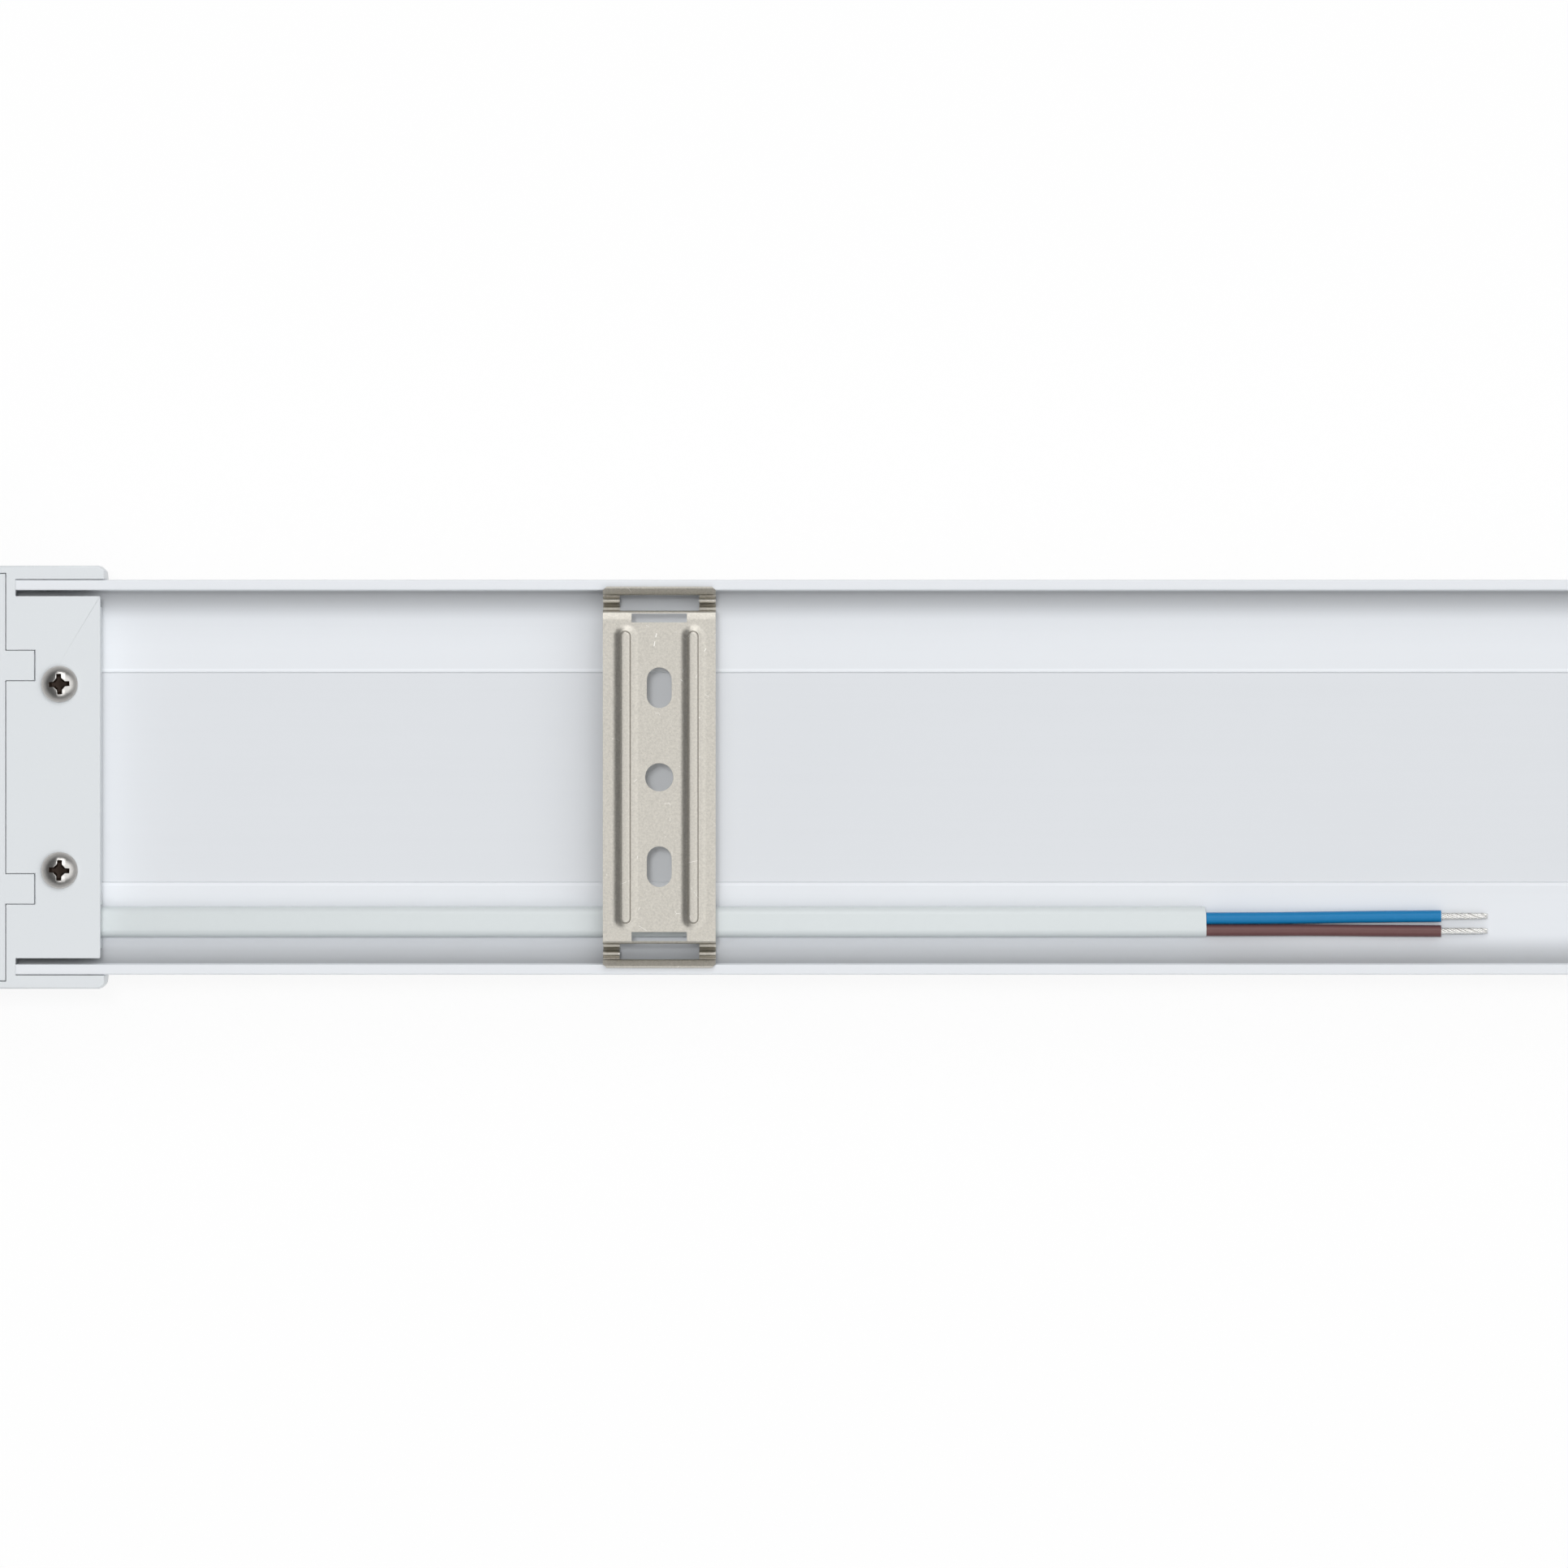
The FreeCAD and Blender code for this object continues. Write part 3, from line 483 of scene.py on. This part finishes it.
ENAMELLED_WIRE = Finish("enamelled copper winding", "B0642E", 0.3, 0.6, tone=0.15, relief_mm=0.02)
YELLOW_TAPE = Finish("yellow winding tape", "DDBE3A", 0.3, tone=0.05)
CAN_SLEEVE = Finish("capacitor sleeve PVC", "22222A", 0.3, tone=0.1)
RED_PVC = Finish("red wire PVC", "C0281E", 0.3, tone=0.06)
BLACK_PVC = Finish("black wire PVC", "1A1A1A", 0.35, tone=0.1)

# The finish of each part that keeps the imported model's own shape.
CAD_FINISHES: dict[str, Finish] = {
    "cord_clamp": NYLON,
    "cord_clamp_screw": NICKEL_SCREW,
    "inner_core_blue": BLUE_PVC,
    "inner_core_brown": BROWN_PVC,
    "led_board_a": SOLDER_MASK,
    "led_board_b": SOLDER_MASK,
    "led_chips_a": PHOSPHOR,
    "led_chips_b": PHOSPHOR,
    "led_board_connectors": CASE_PC,
    "driver_tray": CASE_PC,
    "driver_cover": CASE_PC,
    "driver_tape": FOAM_TAPE,
    "driver_board": GREEN_LAMINATE,
    "driver_input_terminal": GREEN_TERMINAL,
    "driver_output_terminal": GREEN_TERMINAL,
    "fuse_resistor": BLUE_EPOXY,
    "varistor": BLUE_EPOXY,
    "film_capacitor": YELLOW_BOX,
    "choke_core": FERRITE,
    "choke_winding": ENAMELLED_WIRE,
    "bridge_rectifier": BLACK_EPOXY,
    "bulk_capacitor": CAN_SLEEVE,
    "switching_ic": BLACK_EPOXY,
    "transformer_core": FERRITE,
    "transformer_winding": YELLOW_TAPE,
    "output_diode": BLACK_EPOXY,
    "output_capacitor": CAN_SLEEVE,
    "driver_resistors": BLACK_EPOXY,
    "output_wire_red": RED_PVC,
    "output_wire_black": BLACK_PVC,
    "link_wire_red": RED_PVC,
    "link_wire_black": BLACK_PVC,
}


# --- Building helpers ---------------------------------------------------------------


def new_piece(name: str, mesh: bpy.types.Mesh, finish: Finish, body: str) -> bpy.types.Object:
    """Links a mesh as a piece of the lamp, with its finish and its body."""
    piece = bpy.data.objects.new(name, mesh)
    bpy.context.scene.collection.objects.link(piece)
    piece.data.materials.append(finish.material())
    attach(piece, body)
    LOG.info("%s: %d faces", name, len(mesh.polygons))
    return piece


def mesh_from(bm: bmesh.types.BMesh, name: str, smooth_angle: float = 35.0) -> bpy.types.Mesh:
    """Turns a bmesh into a mesh, smooth except across edges sharper than an angle."""
    limit = math.radians(smooth_angle)
    for face in bm.faces:
        face.smooth = True
    for edge in bm.edges:
        edge.smooth = edge.is_manifold and edge.calc_face_angle(0.0) < limit
    mesh = bpy.data.meshes.new(name)
    bm.to_mesh(mesh)
    bm.free()
    return mesh


def bake_modifiers(piece: bpy.types.Object) -> None:
    """Applies every modifier of a piece to its mesh."""
    graph = bpy.context.evaluated_depsgraph_get()
    done = bpy.data.meshes.new_from_object(piece.evaluated_get(graph))
    piece.modifiers.clear()
    piece.data = done


@dataclass
class EasedPart:
    """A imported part's own shape with its sharp edges eased, as moulding and plating leave them."""

    node: str
    finish: Finish
    body: str
    ease_mm: float
    segments: int = 2
    sharp_angle: float = 32.0
    flat_angle: float = 0.6
    weld_mm: float = 0.0005

    def build(self) -> bpy.types.Object:
        """Copies the part, merges it, joins its flat faces and rounds its edges."""
        bm = bmesh.new()
        bm.from_mesh(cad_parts[self.node].data)
        bmesh.ops.remove_doubles(bm, verts=bm.verts, dist=self.weld_mm * MM)
        bmesh.ops.dissolve_limit(
            bm, angle_limit=math.radians(self.flat_angle), verts=bm.verts, edges=bm.edges,
        )
        mesh = mesh_from(bm, self.node + "_eased")
        piece = new_piece(self.node + "_eased", mesh, self.finish, self.body)
        bevel = piece.modifiers.new("ease", "BEVEL")
        bevel.width = self.ease_mm * MM
        bevel.segments = self.segments
        bevel.limit_method = "ANGLE"
        bevel.angle_limit = math.radians(self.sharp_angle)
        bevel.harden_normals = True
        bake_modifiers(piece)
        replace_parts(piece, self.node)
        return piece


# --- Screws -------------------------------------------------------------------------


@dataclass
class CapScrews:
    """The two pan-head screws of one cap."""

    node: str
    head_r: float = 3.25
    head_h: float = 1.9
    rim_h: float = 0.6
    shank_r: float = 1.6
    span: float = 4.5
    slot: float = 1.05
    web: float = 1.2075  # middle to where two wings meet
    depth: float = 1.2
    taper: float = 0.6  # recess floor over recess mouth
    punch_stroke: float = 0.4  # how far the punch starts above the crown
    rim_break: float = 0.12
    rim_break_h: float = 0.14
    recess_ease: float = 0.07
    crown_power: float = 2.4
    crown_rings: int = 14
    turned_steps: int = 64
    turn: float = 3.0
    finish: Finish = NICKEL_SCREW

    def head_profile(self) -> list[Vector]:
        """The screw's half section from its tip to the crown."""
        low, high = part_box(self.node)
        length = (high.z - low.z) / MM - self.head_h
        rise = self.head_h - self.rim_h
        dome = [
            mm(self.head_r * share, 0, self.rim_h + rise * (1 - share ** self.crown_power))
            for share in [1 - i / self.crown_rings for i in range(1, self.crown_rings)]
        ]
        return [
            mm(0, 0, -length),
            mm(self.shank_r, 0, -length + self.shank_r),
            mm(self.shank_r, 0, 0),
            mm(self.head_r - self.rim_break, 0, 0),
            mm(self.head_r, 0, self.rim_break_h),
            mm(self.head_r, 0, self.rim_h),
            *dome,
            mm(0, 0, self.head_h),
        ]

    def head(self) -> bmesh.types.BMesh:
        """The turned screw blank."""
        bm = bmesh.new()
        verts = [bm.verts.new(p) for p in self.head_profile()]
        edges = [bm.edges.new(pair) for pair in zip(verts, verts[1:])]
        bmesh.ops.spin(
            bm, geom=verts + edges, cent=(0, 0, 0), axis=(0, 0, 1), angle=math.tau,
            steps=self.turned_steps, use_merge=True, use_normal_flip=False, use_duplicate=False,
        )
        bmesh.ops.remove_doubles(bm, verts=bm.verts, dist=0.001 * MM)
        bmesh.ops.recalc_face_normals(bm, faces=bm.faces)
        return bm

    def recess(self) -> bmesh.types.BMesh:
        """The punch that leaves the cross recess: four wings that narrow downwards."""
        bm = bmesh.new()
        half, arm, root = self.slot / 2, self.span / 2, self.web
        quarter = [(arm, -half), (arm, half), (root, half), (half, root)]
        mouth = self.head_h + self.punch_stroke
        ring = []
        for step in range(4):
            turn = Matrix.Rotation(math.radians(90 * step), 3, "Z")
            ring += [bm.verts.new(turn @ mm(x, y, mouth)) for x, y in quarter]
        top = bm.faces.new(ring)
        pushed = bmesh.ops.extrude_face_region(bm, geom=[top])
        low = [g for g in pushed["geom"] if isinstance(g, bmesh.types.BMVert)]
        bmesh.ops.translate(bm, vec=mm(0, 0, self.head_h - self.depth - mouth), verts=low)
        bmesh.ops.scale(bm, vec=(self.taper, self.taper, 1), verts=low)
        bmesh.ops.recalc_face_normals(bm, faces=bm.faces)
        # the recess faces take the painted-shade finish
        for face in bm.faces:
            face.material_index = 1
        return bm

    def build(self, body: str) -> bpy.types.Object:
        """Cuts the recess, rounds its edges and sets both screws in place."""
        low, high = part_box(self.node)
        blank = bpy.data.objects.new("blank", mesh_from(self.head(), "blank", 40))
        punch = bpy.data.objects.new("punch", mesh_from(self.recess(), "punch", 40))
        for one in (blank, punch):
            bpy.context.scene.collection.objects.link(one)
            for finish in (self.finish, RECESS_PAINTED_SHADE):
                one.data.materials.append(finish.material())
        cut = blank.modifiers.new("recess", "BOOLEAN")
        cut.operation = "DIFFERENCE"
        cut.solver = "EXACT"
        cut.object = punch
        ease = blank.modifiers.new("ease", "BEVEL")
        ease.width = self.recess_ease * MM
        ease.segments = 2
        ease.limit_method = "ANGLE"
        ease.angle_limit = math.radians(38)
        bake_modifiers(blank)
        bm = bmesh.new()
        x = (low.x + high.x) / 2
        reach = self.head_r * MM
        for side, y in ((1, high.y - reach), (-1, low.y + reach)):
            one = blank.data.copy()
            turn = Matrix.Rotation(math.radians(side * self.turn), 4, "Z")
            one.transform(Matrix.Translation((x, y, high.z - self.head_h * MM)) @ turn)
            bm.from_mesh(one)
        for gone in (blank, punch):
            bpy.data.objects.remove(gone)
        mesh = mesh_from(bm, self.node + "_turned", 30)
        piece = new_piece(self.node + "_turned", mesh, self.finish, body)
        piece.data.materials.append(RECESS_PAINTED_SHADE.material())
        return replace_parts(piece, self.node)


# --- Supply lead --------------------------------------------------------------------


@dataclass
class SupplyLead:
    """The flat two-core lead: sheath, cores and their bare ends."""

    sheath_width: float = 5.4
    sheath_height: float = 3.3
    sheath_round: float = 1.551  # corner radius of the sheath's section
    cut_slant: float = 0.28  # how far the knife's cut runs back at one side
    cut_ease: float = 0.12
    core_diameter: float = 2.1
    strand_radius: float = 0.22
    strands: int = 9
    lay_radius: float = 0.4
    lay_turns: float = 1.15
    droop: float = 0.28
    tip_closing: float = 0.25  # share by which the bundle narrows at its tip
    tip_thinning: float = 0.6
    ragged: float = 0.035  # how unequal the wires' lengths are, as a share
    strand_rings: int = 22
    body: str = FIXTURE
    sheath_route: list[Point] = field(default_factory=lambda: [
        (-0.2908, -0.02564, 0.01965),
        (-0.0798, -0.02564, 0.01965),
    ])
    blue_route: list[Point] = field(default_factory=lambda: [
        (-0.0798, -0.02505, 0.01965),
        (-0.0718, -0.02505, 0.01965),
        (-0.0608, -0.02492, 0.01907),
        (-0.0488, -0.02474, 0.01905),
        (-0.0381, -0.02467, 0.01906),
    ])
    brown_route: list[Point] = field(default_factory=lambda: [
        (-0.0798, -0.02718, 0.01965),
        (-0.0713, -0.02718, 0.01965),
        (-0.0598, -0.02716, 0.01906),
        (-0.0483, -0.02728, 0.01905),
        (-0.0381, -0.02733, 0.01907),
    ])
    exit_x: float = -0.2760

    def make_sheath(self) -> bpy.types.Object:
        """The sheath: a rounded flat tube with a knife-cut end."""
        start, end = (Vector(p) for p in self.sheath_route)
        half_w, half_h = self.sheath_width / 2 * MM, self.sheath_height / 2 * MM
        bm = bmesh.new()
        bmesh.ops.create_grid(bm, x_segments=1, y_segments=1, size=1.0)
        bmesh.ops.scale(bm, vec=(half_h, half_w, 1), verts=bm.verts)
        upright = Matrix.Rotation(math.radians(90), 3, "Y")
        bmesh.ops.rotate(bm, cent=(0, 0, 0), matrix=upright, verts=bm.verts)
        bmesh.ops.bevel(
            bm, geom=bm.verts[:], offset=self.sheath_round * MM, offset_type="OFFSET",
            affect="VERTICES", segments=10, profile=0.5, material=-1,
        )
        bmesh.ops.translate(bm, vec=start, verts=bm.verts)
        out = bmesh.ops.extrude_face_region(bm, geom=bm.faces[:])
        tip = [g for g in out["geom"] if isinstance(g, bmesh.types.BMVert)]
        bmesh.ops.translate(bm, vec=end - start, verts=tip)
        for vert in tip:
            slant = max(0.0, vert.co.y - end.y) / half_w
            vert.co.x -= self.cut_slant * MM * slant * slant
        bmesh.ops.recalc_face_normals(bm, faces=bm.faces)
        caps = [f for f in bm.faces if len(f.verts) > 4]
        rims = [e for f in caps for e in f.edges]
        bmesh.ops.bevel(
            bm, geom=rims, offset=self.cut_ease * MM, offset_type="OFFSET",
            affect="EDGES", segments=2, profile=0.5, material=-1, clamp_overlap=True,
        )
        mesh = mesh_from(bm, "sheath")
        piece = new_piece("sheath", mesh, SHEATH_PVC, self.body)
        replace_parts(piece, "lead_sheath")
        return piece

    def make_core(self, colour: str, route: Sequence[Point], finish: Finish) -> bpy.types.Object:
        """One insulated core as a smooth curve through its route."""
        curve = bpy.data.curves.new("core_" + colour, "CURVE")
        curve.dimensions = "3D"
        curve.bevel_depth = self.core_diameter / 2 * MM
        curve.bevel_resolution = 8
        curve.resolution_u = 12
        curve.use_fill_caps = True
        spline = curve.splines.new("NURBS")
        spline.points.add(len(route) - 1)
        for point, place in zip(spline.points, route):
            point.co = (*place, 1.0)
        spline.order_u = 3
        spline.use_endpoint_u = True
        piece = bpy.data.objects.new("core_" + colour, curve)
        bpy.context.scene.collection.objects.link(piece)
        curve.materials.append(finish.material())
        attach(piece, self.body)
        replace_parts(piece, "lead_core_" + colour)
        return piece

    def make_strands(self, colour: str, route: Sequence[Point]) -> bpy.types.Object:
        """The twisted tinned wires that stick out of a core."""
        low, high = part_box("lead_strands_" + colour)
        start = Vector(route[-1])
        length = high.x - low.x
        bm = bmesh.new()
        rings = self.strand_rings
        for index in range(self.strands + 1):
            central = index == self.strands
            phase = math.tau * index / self.strands
            reach = length * (1 - self.ragged + self.ragged * math.cos(2.3 * index))
            previous = None
            for step in range(rings + 1):
                t = step / rings
                turn = phase + math.tau * self.lay_turns * t
                closing = 1.0 - self.tip_closing * t ** 6
                radius = 0.0 if central else self.lay_radius * MM * closing
                centre = start + Vector((
                    reach * t,
                    radius * math.cos(turn),
                    radius * math.sin(turn) - self.droop * MM * t * t,
                ))
                thick = self.strand_radius * MM * (1.0 if step < rings else self.tip_thinning)
                ring = bmesh.ops.create_circle(
                    bm, cap_ends=step in (0, rings), segments=8, radius=thick,
                )
                place = Matrix.Translation(centre) @ Matrix.Rotation(math.radians(90), 4, "Y")
                bmesh.ops.transform(bm, matrix=place, verts=ring["verts"])
                loop = list({e for v in ring["verts"] for e in v.link_edges})
                if previous is not None:
                    bmesh.ops.bridge_loops(bm, edges=previous + loop)
                previous = loop
        bmesh.ops.recalc_face_normals(bm, faces=bm.faces)
        mesh = mesh_from(bm, "strands_" + colour, 60)
        piece = new_piece("strands_" + colour, mesh, TINNED_COPPER, self.body)
        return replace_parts(piece, "lead_strands_" + colour)

    def build(self) -> None:
        """Makes the whole lead: sheath, cores and bare strands."""
        self.make_sheath()
        for colour, route, finish in (
            ("blue", self.blue_route, BLUE_PVC),
            ("brown", self.brown_route, BROWN_PVC),
        ):
            core = self.make_core(colour, route, finish)
            strands = self.make_strands(colour, route)


# --- The studio ---------------------------------------------------------------------


@dataclass
class Studio:
    """Camera, floor and lamps."""

    view_width: float = 0.2779
    view_x: float = -0.1548
    view_y: float = -0.0012
    distance: float = 2.6
    clip: tuple[float, float] = (0.05, 200.0)
    sensor: float = 36.0
    floor_half: float = 40.0
    floor_drop: float = 0.0004
    floor_glow: float = 0.88  # the rest of what is seen of the floor is lit, so it shows shadow
    sky_lean: float = 0.42  # how far the bright part of the sky leans towards +X
    dome_edge: tuple[float, float] = (0.66, 0.96)
    dome_light: tuple[float, float] = (0.13, 1.14)
    horizon_top: float = 0.5
    horizon_light: float = 0.65

    def camera(self) -> None:
        """A long lens square on to the back of the lamp."""
        data = bpy.data.cameras.new("camera")
        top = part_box("housing")[1].z
        data.sensor_width = self.sensor
        data.lens = self.sensor * self.distance / self.view_width
        data.clip_start, data.clip_end = self.clip
        camera = bpy.data.objects.new("camera", data)
        camera.location = (self.view_x, self.view_y, top + self.distance)
        bpy.context.scene.collection.objects.link(camera)
        bpy.context.scene.camera = camera

    def floor(self) -> None:
        """A pale floor that looks white and keeps a faint shadow."""
        material = bpy.data.materials.new("studio floor")
        material.use_nodes = True
        tree = material.node_tree
        tree.nodes.clear()
        rays = add_node(tree, "ShaderNodeLightPath")
        seen = add_node(
            tree, "ShaderNodeMath", operation="MAXIMUM",
            links={0: rays.outputs["Is Camera Ray"], 1: rays.outputs["Is Glossy Ray"]},
        )
        all_seen = add_node(
            tree, "ShaderNodeMath", operation="MAXIMUM",
            links={0: seen.outputs[0], 1: rays.outputs["Is Transmission Ray"]},
        )
        share = add_node(
            tree, "ShaderNodeMath", operation="MULTIPLY", values={1: self.floor_glow},
            links={0: all_seen.outputs[0]},
        )
        plain = add_node(tree, "ShaderNodeBsdfDiffuse", values={"Color": linear("F4F4F4")})
        glow = add_node(
            tree, "ShaderNodeEmission", values={"Color": (1, 1, 1, 1), "Strength": 1.0},
        )
        mix = add_node(
            tree, "ShaderNodeMixShader",
            links={0: share.outputs[0], 1: plain.outputs[0], 2: glow.outputs[0]},
        )
        add_node(tree, "ShaderNodeOutputMaterial", links={"Surface": mix.outputs[0]})
        bm = bmesh.new()
        bmesh.ops.create_grid(bm, x_segments=1, y_segments=1, size=self.floor_half)
        bmesh.ops.translate(bm, vec=(0, 0, -self.floor_drop), verts=bm.verts)
        mesh = bpy.data.meshes.new("floor")
        bm.to_mesh(mesh)
        bm.free()
        mesh.materials.append(material)
        floor = bpy.data.objects.new("floor", mesh)
        bpy.context.scene.collection.objects.link(floor)

    def softbox(
        self, name: str, place: Point, size: float, power: float, mirrored: bool = True
    ) -> None:
        """One square softbox aimed at the middle of the view.

        Args:
            name: the lamp's name.
            place: its middle, in metres.
            size: its side, in metres.
            power: its output, in watts.
            mirrored: whether shiny surfaces show it.
        """
        data = bpy.data.lights.new(name, "AREA")
        data.shape = "SQUARE"
        data.size = size
        data.energy = power
        lamp = bpy.data.objects.new(name, data)
        lamp.location = place
        aim = Vector((self.view_x, self.view_y, 0)) - Vector(place)
        lamp.rotation_mode = "QUATERNION"
        lamp.rotation_quaternion = aim.to_track_quat("-Z", "Y")
        lamp.visible_camera = False
        lamp.visible_glossy = mirrored
        bpy.context.scene.collection.objects.link(lamp)

    def world(self) -> None:
        """Sky light from overhead and the right, darker low on the left."""
        world = bpy.data.worlds.new("studio")
        bpy.context.scene.world = world
        world.use_nodes = True
        tree = world.node_tree
        tree.nodes.clear()
        place = add_node(tree, "ShaderNodeTexCoord")
        axes = add_node(tree, "ShaderNodeSeparateXYZ", links={0: place.outputs["Generated"]})
        leaning = add_node(
            tree, "ShaderNodeMath", operation="MULTIPLY_ADD", values={1: self.sky_lean},
            links={0: axes.outputs["X"], 2: axes.outputs["Z"]},
        )
        low, high = self.dome_edge
        dim, bright = self.dome_light
        dome = add_node(
            tree, "ShaderNodeMapRange", interpolation_type="SMOOTHSTEP",
            values={"From Min": low, "From Max": high, "To Min": dim, "To Max": bright},
            links={"Value": leaning.outputs[0]},
        )
        horizon = add_node(
            tree, "ShaderNodeMapRange",
            values={
                "From Min": self.horizon_top, "From Max": 0.0,
                "To Min": 0.0, "To Max": self.horizon_light,
            },
            links={"Value": axes.outputs["Z"]},
        )
        strength = add_node(
            tree, "ShaderNodeMath", operation="ADD",
            links={0: dome.outputs[0], 1: horizon.outputs[0]},
        )
        sky = add_node(
            tree, "ShaderNodeBackground", values={"Color": (1, 1, 1, 1)},
            links={"Strength": strength.outputs[0]},
        )
        add_node(tree, "ShaderNodeOutputWorld", links={"Surface": sky.outputs[0]})

    def build(self) -> None:
        """Sets the camera, the floor and the lamps."""
        self.camera()
        self.floor()
        self.world()
        self.softbox("upper", (-0.05, 1.6, 1.9), size=1.4, power=10.5)
        self.softbox("lower", (-0.05, -1.6, 1.9), size=1.4, power=4.5)
        self.softbox("top", (-0.4, 0.3, 3.2), size=0.4, power=29.5, mirrored=False)
        bpy.context.scene.view_settings.view_transform = "Standard"


# --- Putting it together ------------------------------------------------------------


def dress_cad() -> None:
    """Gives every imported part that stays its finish."""
    for name, finish in CAD_FINISHES.items():
        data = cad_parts[name].data
        data.materials.clear()
        data.materials.append(finish.material())
        LOG.info("%s: %s", name, finish.name)


def main() -> None:
    """Builds the studio and every visible piece in order."""
    logging.basicConfig(level=logging.INFO, format="%(name)s %(message)s")
    Studio().build()
    dress_cad()
    EasedPart("housing", COATED_ALUMINIUM_PAINTED_LIGHT, FIXTURE, ease_mm=0.06).build()
    EasedPart("diffuser", OPAL_POLYCARBONATE, FIXTURE, ease_mm=0.06).build()
    for end in ("left", "right"):
        EasedPart("end_frame_" + end, CAP_ABS, FIXTURE, ease_mm=0.14).build()
        EasedPart("end_cover_" + end, CAP_ABS, FIXTURE, ease_mm=0.12).build()
        EasedPart("mounting_clip_" + end, NICKEL_SPRING, "clip_" + end, ease_mm=0.07).build()
        CapScrews("end_screws_" + end).build(FIXTURE)
    SupplyLead().build()


if __name__ == "__main__":
    main()
